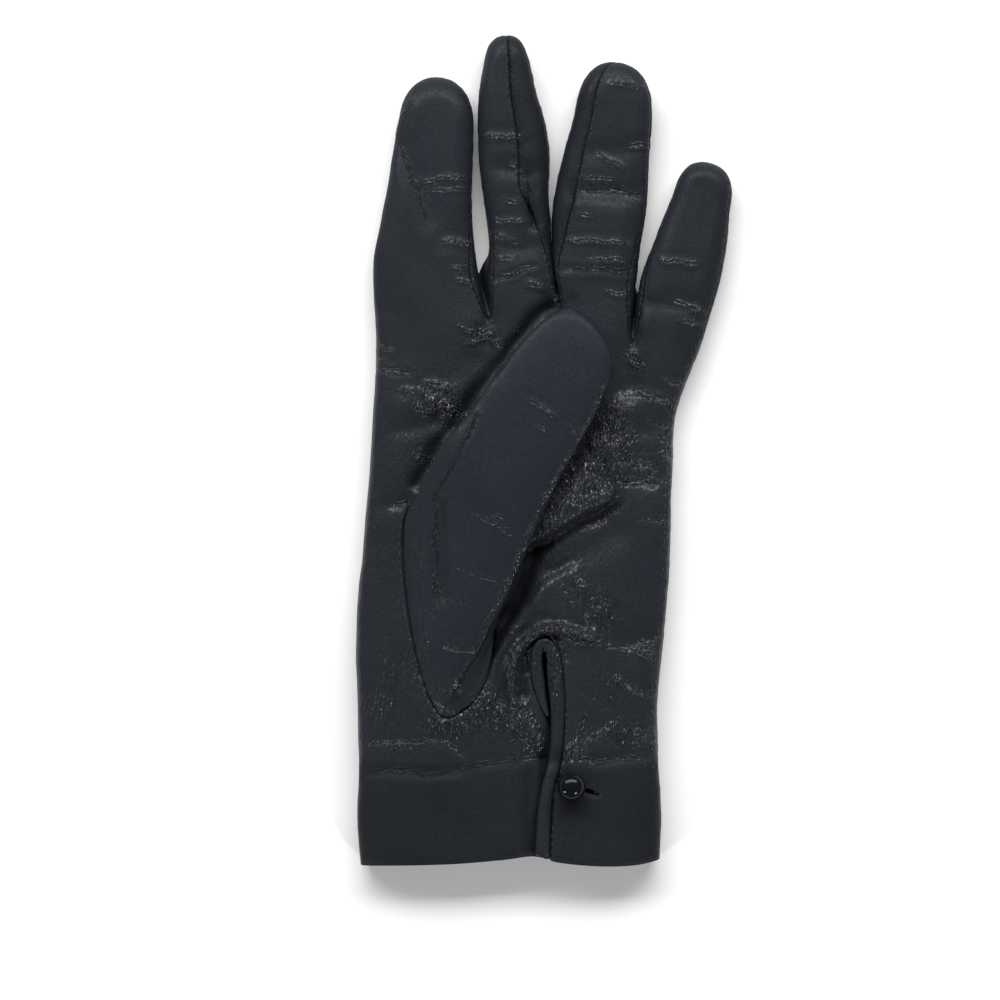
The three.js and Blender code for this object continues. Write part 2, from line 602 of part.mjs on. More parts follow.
// Points round one thumb section: over the top from its index side end to its palm side end, then back
// underneath.
function thumbRing(section) {
  const turn = radians(section.turn);
  const run = new THREE.Vector2(Math.cos(turn), Math.sin(turn));
  const side = new THREE.Vector2(-run.y, run.x);
  const half = section.half * THUMB_WIDTH;
  const foot = new THREE.Vector2(THUMB_FOOT.x * HAND_WIDTH, THUMB_FOOT.y * PALM_LENGTH);
  const centre = new THREE.Vector2(section.x, section.y).multiplyScalar(THUMB_LENGTH).add(foot);
  const points = [];
  const place = (angle, swing, height) => {
    const p = centre.clone().addScaledVector(run, -half * power(Math.cos(angle), THUMB_ROUNDNESS));
    p.addScaledVector(side, swing * THUMB_WIDTH * Math.sin(angle));
    const ground = palmHeight(p.x, p.y);
    const lift = section.rise === 0 ? -THUMB_TUCK * LEATHER : LAY_GAP;
    points.push(new THREE.Vector3(p.x, p.y, ground + lift + section.rise * THUMB_HEIGHT * height));
  };
  for (let i = 0; i < THUMB_OVER_CELLS; i += 1) {
    const angle = (Math.PI * i) / THUMB_OVER_CELLS;
    place(angle, -section.over, 0.4 + 0.6 * Math.sin(angle) ** THUMB_TOP_ROLL);
  }
  for (let i = 0; i < THUMB_UNDER_CELLS; i += 1) {
    const angle = Math.PI * (1 - i / THUMB_UNDER_CELLS);
    place(angle, section.under, 0.4 - 0.4 * Math.sin(angle) ** THUMB_LOW_ROLL);
  }
  return points;
}

function thumbSkin() {
  const skin = new Skin();
  const rows = THUMB_SECTIONS.map((section) => thumbRing(section).map((p) => skin.point(p)));
  for (let r = 0; r + 1 < rows.length; r += 1) {
    rows[r].forEach((corner, c) => {
      const next = (c + 1) % rows[r].length;
      skin.quad("thumb", rows[r][c], rows[r][next], rows[r + 1][next], rows[r + 1][c]);
    });
  }
  const end = rows[rows.length - 1];
  const middle = new THREE.Vector3();
  for (const i of end) middle.add(skin.points[i]);
  middle.divideScalar(end.length);
  middle.x = THUMB_FOOT.x * HAND_WIDTH + THUMB_TIP.x * THUMB_LENGTH;
  middle.y = THUMB_FOOT.y * PALM_LENGTH + THUMB_TIP.y * THUMB_LENGTH;
  const pole = skin.point(middle);
  end.forEach((corner, c) => skin.triangle("thumb", corner, end[(c + 1) % end.length], pole));
  return skin;
}

// Plan of the thumb hole, the thumb's lowest ring with a seam gap round it.
function thumbHole() {
  const ring = thumbRing(THUMB_SECTIONS[0]).map((p) => new THREE.Vector2(p.x, p.y));
  const turning = THREE.ShapeUtils.isClockWise(ring) ? -1 : 1;
  return offset(ring, turning * SEAM_GAP, true);
}

const bindingLine = () =>
  BINDING.map((row) => new THREE.Vector2(row.x * VENT_LENGTH, row.y * VENT_LENGTH));

// Plan of the vent: the slit, the seat of the binding and the dark gap beside it.
function ventPlan() {
  const line = bindingLine();
  const outer = line.map((p, i) => {
    const moved = offset(line, -(BINDING[i].half * BINDING_WIDTH + SEAM_GAP), false);
    return moved[i];
  });
  const end = outer[outer.length - 1].clone();
  end.y = -SEAM_GAP * 10;
  const edge = VENT_EDGE.map((row) => new THREE.Vector2(row.x * VENT_LENGTH, row.y * VENT_LENGTH));
  return [...outer, end, ...edge.reverse()];
}

function bindingSolid() {
  const line = bindingLine();
  const sides = [1, 0.8, 0.3, -0.3, -0.8, -1];
  const crown = [0, 0.75, 1, 1, 0.75, 0];
  const rings = line.map((p, i) => {
    const half = BINDING[i].half * BINDING_WIDTH;
    const ring = sides.map((share, k) => {
      const q = offset(line, -share * half, false)[i];
      return new THREE.Vector3(q.x, q.y, palmHeight(q.x, q.y) + BINDING_RISE * crown[k] - BINDING_SINK);
    });
    const low = [-1, 1].map((share) => {
      const q = offset(line, -share * half, false)[i];
      return new THREE.Vector3(q.x, q.y, palmHeight(q.x, q.y) - LEATHER);
    });
    return [...ring, ...low];
  });
  return loft(rings);
}

// A closed solid through rings with as many points each, its two ends closed by a fan.
function loft(rings) {
  const size = rings[0].length;
  const positions = rings.flat().flatMap((p) => [p.x, p.y, p.z]);
  const index = [];
  for (let r = 0; r + 1 < rings.length; r += 1) {
    for (let c = 0; c < size; c += 1) {
      const a = r * size + c;
      const b = r * size + ((c + 1) % size);
      index.push(a, b, b + size, a, b + size, a + size);
    }
  }
  const top = (rings.length - 1) * size;
  for (let c = 1; c + 1 < size; c += 1) {
    index.push(0, c + 1, c, top, top + c, top + c + 1);
  }
  return manifold(positions, index);
}

const buttonPlace = () =>
  new THREE.Vector2(BUTTON_PLACE.x * HAND_WIDTH, BUTTON_PLACE.y * PALM_LENGTH);

// Slot with round ends, turned about the button.
function buttonholePlan() {
  const turn = radians(BUTTONHOLE_TURN);
  const half = BUTTONHOLE_LENGTH / 2;
  const full = half - BUTTONHOLE_TAPER;
  const corners = [[-half, 0], [-full, -0.5], [full, -0.5], [half, 0], [full, 0.5], [-full, 0.5]];
  return corners.map(([along, up]) =>
    new THREE.Vector2(along + BUTTONHOLE_SHIFT * BUTTONHOLE_LENGTH, up * BUTTONHOLE_WIDTH)
      .rotateAround(new THREE.Vector2(), turn)
      .add(buttonPlace()),
  );
}

// The underlap follows the inside of the hem leather, a gap below it.
function tabSkin() {
  const skin = new Skin();
  const middle = buttonPlace();
  const steps = [-0.5, -0.42, -0.2, 0, 0.2, 0.42, 0.5];
  const rows = steps.map((up) =>
    steps.map((across) => {
      const x = middle.x + (across + TAB_SHIFT) * TAB_WIDTH;
      const y = middle.y + up * TAB_LENGTH;
      return skin.point(new THREE.Vector3(x, y, palmHeight(x, y) - HEM_LEATHER - LAY_GAP));
    }),
  );
  for (let r = 0; r + 1 < steps.length; r += 1) {
    for (let c = 0; c + 1 < steps.length; c += 1) {
      skin.quad("button_tab", rows[r][c], rows[r][c + 1], rows[r + 1][c + 1], rows[r + 1][c]);
    }
  }
  return skin;
}

// Ball with its shank, turned about its own axis, the shank standing on the underlap.
function buttonSolid() {
  const middle = buttonPlace();
  const leather = palmHeight(middle.x, middle.y);
  const radius = BUTTON_DIAMETER / 2;
  const foot = leather - HEM_LEATHER - LAY_GAP + SEAM_GAP;
  const heart = leather + SEAM_GAP + radius * BALL_SETTLE;
  const profile = [new THREE.Vector2(0, foot), new THREE.Vector2(SHANK_DIAMETER / 2, foot)];
  const neck = Math.asin(SHANK_DIAMETER / 2 / radius);
  for (let i = 0; i <= BUTTON_ROWS; i += 1) {
    const angle = mix(neck, Math.PI, i / BUTTON_ROWS);
    const out = i === BUTTON_ROWS ? 0 : Math.sin(angle) * radius;
    profile.push(new THREE.Vector2(out, heart - Math.cos(angle) * radius));
  }
  const geometry = new THREE.LatheGeometry(profile, BUTTON_SIDES);
  geometry.rotateX(Math.PI / 2);
  geometry.translate(middle.x, middle.y, 0);
  const positions = Array.from(geometry.getAttribute("position").array);
  return manifold(positions, Array.from(geometry.getIndex().array));
}

const glove = new THREE.Group();
const hand = handSkin();
const clearOf = 0.5 * PALM_HEIGHT; // cuts stay above this height, so that the back is left whole
const overAll = WRIST_HEIGHT + THUMB_HEIGHT + BUTTON_DIAMETER;
const trank = hand
  .solid("trank")
  .subtract(upright(thumbHole(), clearOf, overAll))
  .subtract(upright(ventPlan(), clearOf, overAll))
  .subtract(upright(buttonholePlan(), clearOf, overAll));
glove.add(mesh("trank", trank, kid()));
for (const piece of WEB_PIECES) glove.add(mesh(piece, hand.solid(piece), kid()));
glove.add(mesh("thumb", thumbSkin().solid("thumb"), kid()));
glove.add(mesh("vent_binding", bindingSolid(), kid()));
glove.add(mesh("button_tab", tabSkin().solid("button_tab"), kid()));
glove.add(mesh("button", buttonSolid(), gloss()));

// The origin is on the ground under the middle of the glove.
const box = new THREE.Box3().setFromObject(glove);
glove.position.set(-(box.min.x + box.max.x) / 2, -(box.min.y + box.max.y) / 2, -box.min.z);

export default glove;
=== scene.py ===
import math

import bmesh
import bpy
import numpy as np
from mathutils import Matrix, Vector, kdtree, noise


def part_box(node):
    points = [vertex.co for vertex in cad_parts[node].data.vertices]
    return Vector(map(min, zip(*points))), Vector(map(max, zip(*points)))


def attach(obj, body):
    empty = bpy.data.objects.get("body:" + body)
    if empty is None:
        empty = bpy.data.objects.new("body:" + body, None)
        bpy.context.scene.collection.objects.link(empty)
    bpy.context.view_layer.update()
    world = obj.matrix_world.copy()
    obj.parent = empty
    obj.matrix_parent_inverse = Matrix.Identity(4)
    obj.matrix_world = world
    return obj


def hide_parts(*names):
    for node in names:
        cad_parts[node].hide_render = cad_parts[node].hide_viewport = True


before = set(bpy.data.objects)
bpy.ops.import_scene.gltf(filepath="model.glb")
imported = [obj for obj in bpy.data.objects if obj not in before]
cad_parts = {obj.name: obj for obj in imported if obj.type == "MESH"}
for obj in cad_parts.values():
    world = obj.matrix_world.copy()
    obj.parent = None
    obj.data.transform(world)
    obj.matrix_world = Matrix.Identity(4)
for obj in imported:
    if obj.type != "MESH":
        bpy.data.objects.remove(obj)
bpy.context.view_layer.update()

# HAND LEATHER
# The trank, one thin glace kid leather, makes the palm, the back and both faces of the fingers. It is cut
# flat, folded at the index side and closed by a fine seam down the little finger side. The tables and
# curves are in millimetres from the middle of the hem, and PLACE brings them to the part's own frame.
PALM_LENGTH, HAND_WIDTH = 127.0, 72.0
WRIST_HEIGHT, PALM_HEIGHT, EDGE_HEIGHT = 10.8, 8.6, 2.9
WEB_RISE = 11.0
LEATHER, HEM_LEATHER, THIN_LEATHER, HEM_DEPTH, LAY_GAP = 1.0, 1.8, 0.3, 24.0, 0.45
BUTTON_X, BUTTON_Y = 0.197 * HAND_WIDTH, 0.148 * PALM_LENGTH
button_low, button_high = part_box("button")
button_heart = (button_low + button_high) / 2
PLACE = (
    Matrix.Translation((button_heart.x, button_heart.y, 0))
    @ Matrix.Scale(0.001, 4)
    @ Matrix.Translation((-BUTTON_X, -BUTTON_Y, 0))
)

# along the palm, left side, right side
SIDES = [
    (-0.05, -0.484, 0.486), (0, -0.485, 0.486), (0.08, -0.494, 0.49), (0.2, -0.49, 0.482),
    (0.3, -0.496, 0.478), (0.4, -0.5, 0.495), (0.48, -0.494, 0.511), (0.6, -0.476, 0.52),
    (0.71, -0.458, 0.526), (0.82, -0.446, 0.535), (0.88, -0.438, 0.567), (0.945, -0.434, 0.614),
    (1, -0.437, 0.646), (1.06, -0.443, 0.68),
]
# across the hand, height of the hem
HEM = [
    (0, 0), (0.3, 0.004), (0.48, 0.012), (0.58, 0.018), (0.66, 0.007), (0.8, 0), (0.92, 0.002), (1, 0.011),
]
# the four finger strips: hem, palm, palm end, back, back end
STRIPS = [
    (0, 0, 1, 0, 1), (0.29, 0.343, 1, 0.3, 1.007), (0.52, 0.545, 1.031, 0.52, 1),
    (0.76, 0.785, 0.957, 0.765, 0.982), (1, 1, 0.957, 1, 0.957),
]
# length, width, base x, base y, lean, twist, then along, shift, half width
FINGERS = {
    "index": (57.2, 24, -0.29, 1, 4.3, -25, [
        (0, 0.06, 0.53), (0.228, 0, 0.504), (0.404, -0.005, 0.446), (0.579, 0, 0.402), (0.754, 0.002, 0.378),
        (0.842, 0.006, 0.362), (1, 0, 0.35),
    ]),
    "middle": (65.8, 17, 0.044, 1.008, -3.7, 47, [
        (0, -0.02, 0.45), (0.183, -0.005, 0.435), (0.259, 0.018, 0.423), (0.335, 0.012, 0.436),
        (0.411, 0, 0.452), (0.563, 0.01, 0.486), (0.639, 0.008, 0.475), (0.715, -0.01, 0.445),
        (0.79, -0.03, 0.394), (0.898, -0.015, 0.335), (1, 0, 0.32),
    ]),
    "ring": (61.9, 22.5, 0.236, 0.992, 8, -22, [
        (0, 0.065, 0.395), (0.22, 0.018, 0.456), (0.31, 0.014, 0.465), (0.39, 0.004, 0.48),
        (0.473, 0.002, 0.484), (0.56, 0.002, 0.47), (0.72, 0.012, 0.425), (0.8, 0.015, 0.402), (1, 0, 0.37),
    ]),
    "little": (43.7, 18.5, 0.494, 0.957, 14.6, 24, [
        (0, 0.01, 0.5), (0.366, 0.018, 0.488), (0.44, 0.025, 0.474), (0.556, 0.032, 0.444),
        (0.674, 0.03, 0.415), (0.82, 0.02, 0.37), (1, 0, 0.35),
    ]),
}
FINGER_HEIGHT, SEAM_ANGLE, TIP_START = 8.2, 38.0, 0.82
TWIST_START, TWIST_SPAN = 0.2, 0.25
FINGER_ROUNDNESS, FINGER_CROWN, TIP_LIFT, TIP_THINNING = 0.85, 0.56, 0.12, 0.6
PALM_ROLL, BACK_ROLL, BACK_PRESS, FOLD_STRENGTH = 4, 9, 1.12, 0.6
TIP_BLUNT = {"index": 2.1, "middle": 2.7, "ring": 2.3, "little": 2.4}
# broad folds: from x, y to x, y, width, rise
FOLDS = [
    (0.008, 0.33, 0.03, 0.39, 0.026, 0.1), (0.035, 0.405, 0.115, 0.43, 0.026, 0.12),
    (0.135, 0.43, 0.235, 0.418, 0.03, 0.1), (-0.13, 0.32, -0.03, 0.45, 0.04, -0.18),
    (-0.01, 0.47, 0.09, 0.59, 0.045, -0.24), (0.13, 0.6, 0.3, 0.67, 0.045, 0.16),
    (0.34, 0.71, 0.37, 0.83, 0.045, 0.15), (0.16, 0.55, 0.33, 0.61, 0.06, -0.16),
    (-0.46, 0.174, -0.14, 0.176, 0.024, -0.08), (-0.08, 0.19, 0.45, 0.197, 0.024, -0.08),
    (-0.4, 0.662, -0.33, 0.672, 0.03, -0.12), (-0.34, 0.84, -0.17, 0.87, 0.04, 0.12),
    (-0.36, 0.8, -0.24, 0.81, 0.03, -0.12), (0.38, 0.41, 0.5, 0.43, 0.03, -0.12),
    (0.34, 0.695, 0.52, 0.705, 0.032, -0.16), (0.38, 0.8, 0.54, 0.8, 0.03, -0.12),
    (0.42, 0.88, 0.56, 0.87, 0.03, -0.12), (0.45, 1.03, 0.62, 1.03, 0.03, -0.13),
    (-0.08, 0.93, -0.066, 1, 0.05, -0.24), (0.14, 0.95, 0.153, 1.03, 0.05, -0.24),
    (0.38, 0.88, 0.39, 0.957, 0.05, -0.24), (-0.34, 1.31, -0.2, 1.16, 0.05, -0.14),
    (-0.02, 1.13, 0.11, 1.14, 0.03, -0.12), (-0.05, 1.28, 0.12, 1.27, 0.03, -0.14),
    (0.22, 1.235, 0.4, 1.23, 0.034, -0.2), (0.26, 1.31, 0.43, 1.31, 0.03, -0.1),
]
# fine creases and puckers: half width, rise, gloss, then the points that the crease runs through
CREASES = [
    (0.8, 0.28, 0.6, [(-20.5, 159.2), (-15.5, 160.4), (-9.5, 160)]),
    (0.7, 0.24, 0.5, [(-18, 157), (-9.5, 157.4)]),
    (0.9, 0.4, 1, [(-15, 145.3), (-9.5, 144.8)]),
    (0.6, 0.2, 0.5, [(-14, 139.2), (-10.5, 138.8)]),
    (0.6, 0.25, 0.6, [(-12, 136.2), (-8.5, 135.8)]),
    (1.8, -0.35, 0.1, [(-25.5, 168), (-19, 150)]),
    (0.6, 0.18, 0.2, [(-26.6, 171), (-22.8, 179)]),
    (0.7, -0.25, 0.3, [(-34, 115.6), (-23, 114.6)]),
    (0.6, -0.22, 0.3, [(-33.5, 121), (-26.8, 120.6)]),
    (0.5, -0.18, 0.2, [(-33, 118.2), (-28, 118.6)]),
    (0.9, 0.4, 1, [(-5.8, 169.6), (2.8, 169.3)]),
    (0.7, 0.26, 0.6, [(-1, 163.2), (4, 161.4)]),
    (0.6, 0.22, 0.6, [(-1.6, 154.8), (2.3, 154.4)]),
    (0.8, 0.3, 0.7, [(-4, 150.2), (2.8, 149.8)]),
    (0.8, 0.32, 0.8, [(-4, 146.8), (3.2, 145)]),
    (0.5, 0.2, 0.5, [(-2.6, 141.2), (0.6, 141.2)]),
    (0.6, -0.35, 0.5, [(-3.2, 137.2), (5.8, 139.4)]),
    (0.8, 0.4, 1, [(4.6, 135.5), (7.4, 134.1)]),
    (0.5, 0.22, 0.6, [(0.6, 125.3), (2.9, 124.3)]),
    (1.5, -0.5, 0, [(4.1, 161.5), (4.4, 155), (5.2, 148.5)]),
    (0.7, 0.3, 0.7, [(23.5, 182.2), (31, 181.8)]),
    (0.7, 0.28, 0.7, [(27.2, 167.2), (32.2, 167.6)]),
    (0.7, 0.26, 0.6, [(20.6, 165.9), (26.3, 162.4)]),
    (0.7, 0.24, 0.5, [(17, 159.7), (24.5, 159.3)]),
    (0.6, -0.35, 0.5, [(16.7, 157.3), (24, 157.1), (30.6, 156.2)]),
    (0.6, 0.2, 0.5, [(15.5, 151.2), (19.3, 151)]),
    (0.8, 0.32, 0.8, [(14.5, 145.4), (28.9, 145)]),
    (0.6, 0.24, 0.8, [(18.6, 141.1), (26.8, 140.9)]),
    (0.8, -0.4, 0.2, [(13.1, 138.9), (28.3, 138.4)]),
    (0.6, 0.24, 0.6, [(22.4, 133.4), (27.3, 132.9)]),
    (0.8, 0.32, 0.8, [(35.6, 140.7), (43.8, 139.8)]),
    (0.8, 0.34, 0.9, [(37.4, 131.7), (45, 129.6)]),
    (0.6, 0.24, 0.6, [(39.8, 126.8), (45.4, 126.1)]),
    (0.7, -0.28, 0.5, [(35.2, 113), (40.6, 111.4)]),
    (0.6, -0.25, 0.5, [(29.2, 110), (38.6, 106.8)]),
    (0.6, -0.22, 0.5, [(32.3, 103.9), (38.2, 101.8)]),
    (0.45, -0.16, 0.4, [(34.6, 99.3), (38, 98.9)]),
    (0.45, -0.16, 0.4, [(34.3, 97), (37.8, 96.7)]),
    (0.45, -0.16, 0.4, [(34, 94.9), (37.6, 94.7)]),
    (0.6, -0.25, 0.3, [(30.5, 90.6), (38, 89.6)]),
    (0.6, -0.22, 0.3, [(30, 80.7), (37.4, 80)]),
    (0.6, -0.22, 0.2, [(29, 51.4), (35.6, 52.6)]),
    (0.5, -0.18, 0.2, [(29.6, 49.8), (35.3, 49.9)]),
    (0.6, 0.2, 0.7, [(26.2, 118.6), (28.5, 117), (31, 115.3)]),
    (0.5, 0.18, 0.7, [(27.6, 119.4), (30.6, 118)]),
    (0.6, 0.22, 0.8, [(-11.8, 125.3), (-7.5, 124.1)]),
    (0.6, 0.24, 0.9, [(-7, 123.6), (-1.6, 120.8)]),
    (0.5, 0.2, 0.8, [(-9.6, 121.5), (-4, 123.5)]),
    (0.7, 0.3, 0.8, [(-24.8, 110.7), (-20.4, 110)]),
    (0.7, 0.3, 0.8, [(-19.2, 112.5), (-15, 111.3)]),
    (0.9, 0.42, 1, [(-17.6, 108.3), (-13.8, 106.3), (-10.2, 103.9)]),
    (0.7, 0.3, 0.7, [(-21.8, 106.6), (-18.4, 105.4)]),
    (1.6, -0.8, 0.1, [(-16.2, 103.7), (-12.8, 101.6)]),
    (0.7, 0.26, 0.6, [(-22.2, 95.3), (-18.2, 94.1)]),
    (0.7, 0.22, 0.7, [(17.6, 89), (18.4, 95), (20, 103)]),
    (0.7, 0.24, 0.8, [(20.4, 88.6), (21.6, 95), (23, 104.5)]),
    (0.7, 0.22, 0.8, [(23.2, 91), (24.2, 98), (25.6, 105.4)]),
    (0.6, 0.2, 0.7, [(26.2, 90.4), (27, 96), (28.6, 103)]),
    (0.8, -0.45, 0.3, [(24.6, 94.6), (29, 93.8), (34, 93.5)]),
    (0.8, -0.42, 0.3, [(23.2, 90), (28, 89.2), (33.4, 89)]),
    (0.9, -0.35, 0.2, [(-27.4, 83.9), (-22, 85.3)]),
    (0.8, -0.28, 0.1, [
        (-33.6, 21.5), (-28, 22.5), (-19, 21), (-12, 22.3), (-6, 24.3), (0, 24.7), (7.6, 25.2),
    ]),
    (0.8, -0.2, 0.1, [(-33.6, 28), (-22, 29), (-17, 29.5), (-12, 27), (-10, 24.8)]),
    (0.8, -0.25, 0.1, [(13.4, 25), (20, 24.4), (28, 24.8), (34.2, 25.4)]),
    (1, 0.38, 0.4, [(0.2, 44), (0.6, 47.5), (2.1, 50), (5.1, 52.9), (8.3, 54.4), (12.5, 54.6), (16.7, 53.1)]),
    (0.6, -0.35, 0.2, [(3.4, 44.8), (4.2, 50), (7.1, 52.8), (10.4, 52.9), (12.6, 50.9), (13.2, 47.5)]),
    (0.5, 0.2, 0.7, [(15.4, 25.4), (20, 30.4), (25, 34)]),
    (0.5, 0.18, 0.7, [(13.4, 26), (16.4, 31.6), (17.4, 35.4)]),
    (0.5, 0.16, 0.6, [(19, 52.2), (27, 50), (33.5, 47.7)]),
    (0.5, 0.16, 0.6, [(23.6, 44), (31.7, 38.8)]),
    (0.45, 0.16, 0.3, [(11.6, 23.6), (10.6, 26)]),
    (0.45, 0.16, 0.3, [(13.6, 24.2), (13.4, 26.8)]),
    (0.45, 0.16, 0.3, [(15.8, 23.8), (16.6, 26.4)]),
    (0.45, 0.14, 0.3, [(18, 22.8), (19.6, 24.8)]),
]
# soft hollows and swellings: half width, rise, then the points that they run through; the hollows are also
# painted with shade
MOULDS = [
    (1.8, -1.7, [(-10, 41), (-5.5, 49.5), (-0.4, 59), (3.6, 68), (5, 71)]),
    (1.6, -0.9, [(12, 88), (16.5, 95.5), (20.4, 103.5)]),
    (1.8, -1.6, [
        (-21.5, 89), (-16.8, 98), (-10.8, 105), (-5.8, 112.5), (0.2, 120.5), (5.2, 126.5), (9.6, 130),
    ]),
    (0.95, 1.6, [
        (1.2, 38), (-0.2, 42), (0.1, 45.5), (1.5, 50), (4.8, 53.4), (8.3, 54.9), (12.8, 55), (16.5, 53.6),
        (19, 53),
    ]),
    (0.9, -0.8, [(-2.4, 38), (-2.6, 43), (-1.4, 48.5), (1, 52.5), (4, 55.5)]),
    (0.8, -1.1, [(3, 40), (2.7, 43), (3.2, 47.5), (4.2, 51), (7, 53.4), (11, 53.4)]),
    (1.7, -1.5, [(9.8, 35), (9.4, 29), (8.9, 24), (8, 17), (7.4, 10), (7, 0)]),
    (1.6, -0.9, [(4.4, 21), (4.4, 12), (4.8, 2.5)]),
    (3.4, -1.1, [(14, 18.8), (14.4, 18.8)]),
    (1.3, 0.9, [(1.4, 37.5), (3.4, 32.5), (7.2, 27)]),
    (1, -0.5, [(0.5, 33), (4, 27)]),
    (0.9, -1.1, [(4.3, 161), (4.5, 155), (5.4, 148.5)]),
    (2.6, 0.8, [(13.5, 83), (21.5, 98)]),
    (1.3, -0.7, [(-4.6, 126.5), (-5.4, 133)]),
    (1.3, -0.7, [(28.6, 121), (29.6, 128)]),
    (1.4, -0.6, [(10.6, 129.5), (11.2, 135)]),
]
# edges where the leather stands higher on the left of the line: rise, dip beside it, reach, points; the dip
# is also painted with shade
SHELVES = [
    (2.3, 1.7, 10, [(1.5, 73.6), (5, 75.2), (10.7, 77.5), (15.3, 80.7), (20.9, 83.5), (23, 85), (25, 88)]),
    (0.7, 0.7, 9, [(17.2, 70.2), (13, 69.3), (9.6, 67.4), (6.6, 63.9), (4, 59)]),
]
# fine upright ripples: x, y, reach across, reach up, depth
RIPPLES = [
    (17, 88, 6, 8, 0.75), (22.5, 97, 6, 9, 0.75), (9, 81, 4, 5, 0.45), (18.5, 62, 6, 7, 0.35),
    (21, 53, 5, 5, 0.25), (-20.5, 70, 1.8, 14, 0.2), (1, 43, 3, 6, 0.25),
]
# patches of crinkled leather: x, y, reach across, reach up, gloss
PATCHES = [
    (9, 82, 4, 4.5, 0.9), (15, 88, 5, 6, 1), (20, 94, 6, 8, 1), (23, 102, 5, 6, 1), (31, 92, 4, 1.5, 0.4),
    (36.8, 97, 1, 4, 0.8), (15.5, 64, 3, 3.5, 0.8), (21, 59, 4, 4, 0.7), (17, 53, 3, 2, 0.5),
    (-5, 37, 5, 4, 0.9), (1.8, 34, 3, 3, 0.9), (-14, 33, 8, 4, 0.6), (-30, 36, 4, 5, 0.5),
    (24, 40, 6, 5, 0.4), (29, 31, 4, 3, 0.8), (6, 28.5, 3, 2.5, 1), (15, 25.8, 3, 1.8, 0.8),
    (8, 54.6, 6, 1.3, 0.9),
    (0.4, 46, 1.4, 6, 1), (3, 34, 2.4, 5, 0.8), (27, 29.5, 3, 2.2, 0.7), (-21, 72, 1.8, 5, 0.6),
    (-20, 50, 4, 7, 0.5), (-13, 33, 5, 2.4, 0.6),
    (-30, 73, 3, 6, 0.2), (-28, 45, 4, 6, 0.3), (-27, 27.5, 6, 2, 0.4), (-6.5, 123, 5, 2.4, 0.8),
    (-16, 108.5, 5, 3, 0.8), (-20.5, 96, 2, 3, 0.4), (28.6, 117, 2.4, 2, 0.6), (11, 133.5, 1.6, 3, 0.9),
]


def read(table, column, at):
    """A table's column between its rows, on a smooth curve through them. Column 0 is the place."""
    rows = np.array(table, float)
    place, value = rows[:, 0], rows[:, column]
    steps = np.arange(len(rows))
    before, after = np.maximum(steps - 1, 0), np.minimum(steps + 1, len(rows) - 1)
    slope = (value[after] - value[before]) / (place[after] - place[before])
    i = np.clip(np.searchsorted(place, at) - 1, 0, len(rows) - 2)
    span = place[i + 1] - place[i]
    t = np.clip((at - place[i]) / span, 0, 1)
    return (
        (2 * t**3 - 3 * t**2 + 1) * value[i]
        + (t**3 - 2 * t**2 + t) * span * slope[i]
        + (3 * t**2 - 2 * t**3) * value[i + 1]
        + (t**3 - t**2) * span * slope[i + 1]
    )


def away_from(x, y, points):
    """Distance of each point to a line through some points."""
    nearest = np.full(np.shape(x), np.inf)
    for (x1, y1), (x2, y2) in zip(points, points[1:]):
        run = (x2 - x1) ** 2 + (y2 - y1) ** 2
        t = np.clip(((x - x1) * (x2 - x1) + (y - y1) * (y2 - y1)) / run, 0, 1)
        nearest = np.minimum(nearest, np.hypot(x - x1 - t * (x2 - x1), y - y1 - t * (y2 - y1)))
    return nearest


def bell(away, reach):
    """1 on a line or a spot, falling off to 0 past its reach."""
    return np.exp(-((away / reach) ** 2))


def fold_rise(x, y):
    rise = 0 * x
    for x1, y1, x2, y2, wide, high in FOLDS:
        line = [(x1 * HAND_WIDTH, y1 * PALM_LENGTH), (x2 * HAND_WIDTH, y2 * PALM_LENGTH)]
        rise += FOLD_STRENGTH * high * PALM_HEIGHT * bell(away_from(x, y, line), wide * HAND_WIDTH)
    return rise


def side_at(y, column):
    return HAND_WIDTH * read(SIDES, column, y / PALM_LENGTH)


def off_middle(x, y):
    """0 in the middle of the hand, 1 at its side folds."""
    left, right = side_at(y, 1), side_at(y, 2)
    off = np.abs((2 * x - left - right) / (right - left))
    return np.where(off > 1 - 1e-5, 1, off)


def palm_height(x, y, folded=1.0):
    top = WRIST_HEIGHT + (PALM_HEIGHT - WRIST_HEIGHT) * np.clip(2 * y / PALM_LENGTH, 0, 1)
    roll = (1 - off_middle(x, y) ** PALM_ROLL) ** (1 / PALM_ROLL)
    return EDGE_HEIGHT + (top - EDGE_HEIGHT + folded * fold_rise(x, y)) * roll


def back_height(x, y):
    flat = (1 - off_middle(x, y) ** BACK_ROLL) ** (1 / BACK_ROLL)
    return np.maximum(0, EDGE_HEIGHT * (1 - BACK_PRESS * flat))


def hand_point(face, strip, part, up):
    """Points of the hand between the hem (up = 0) and the finger crotches (up = 1)."""
    start, end = STRIPS[strip], STRIPS[strip + 1]
    column = 3 if face == "back" else 1
    at_hem = start[0] + (end[0] - start[0]) * part
    at_end = start[column] + (end[column] - start[column]) * part
    across = at_hem + (at_end - at_hem) * up
    reach = (start[column + 1] + (end[column + 1] - start[column + 1]) * part) * PALM_LENGTH
    if face == "back":
        reach = reach + WEB_RISE * np.sin(np.pi * np.clip(across, 0, 1)) ** 0.5
    low = read(HEM, 1, across) * PALM_LENGTH
    y = low + (reach - low) * up
    x = side_at(y, 1) + (side_at(y, 2) - side_at(y, 1)) * across
    return np.column_stack([x, y, back_height(x, y) if face == "back" else palm_height(x, y)])


def signed_power(value, exponent):
    return np.sign(value) * np.abs(value) ** exponent


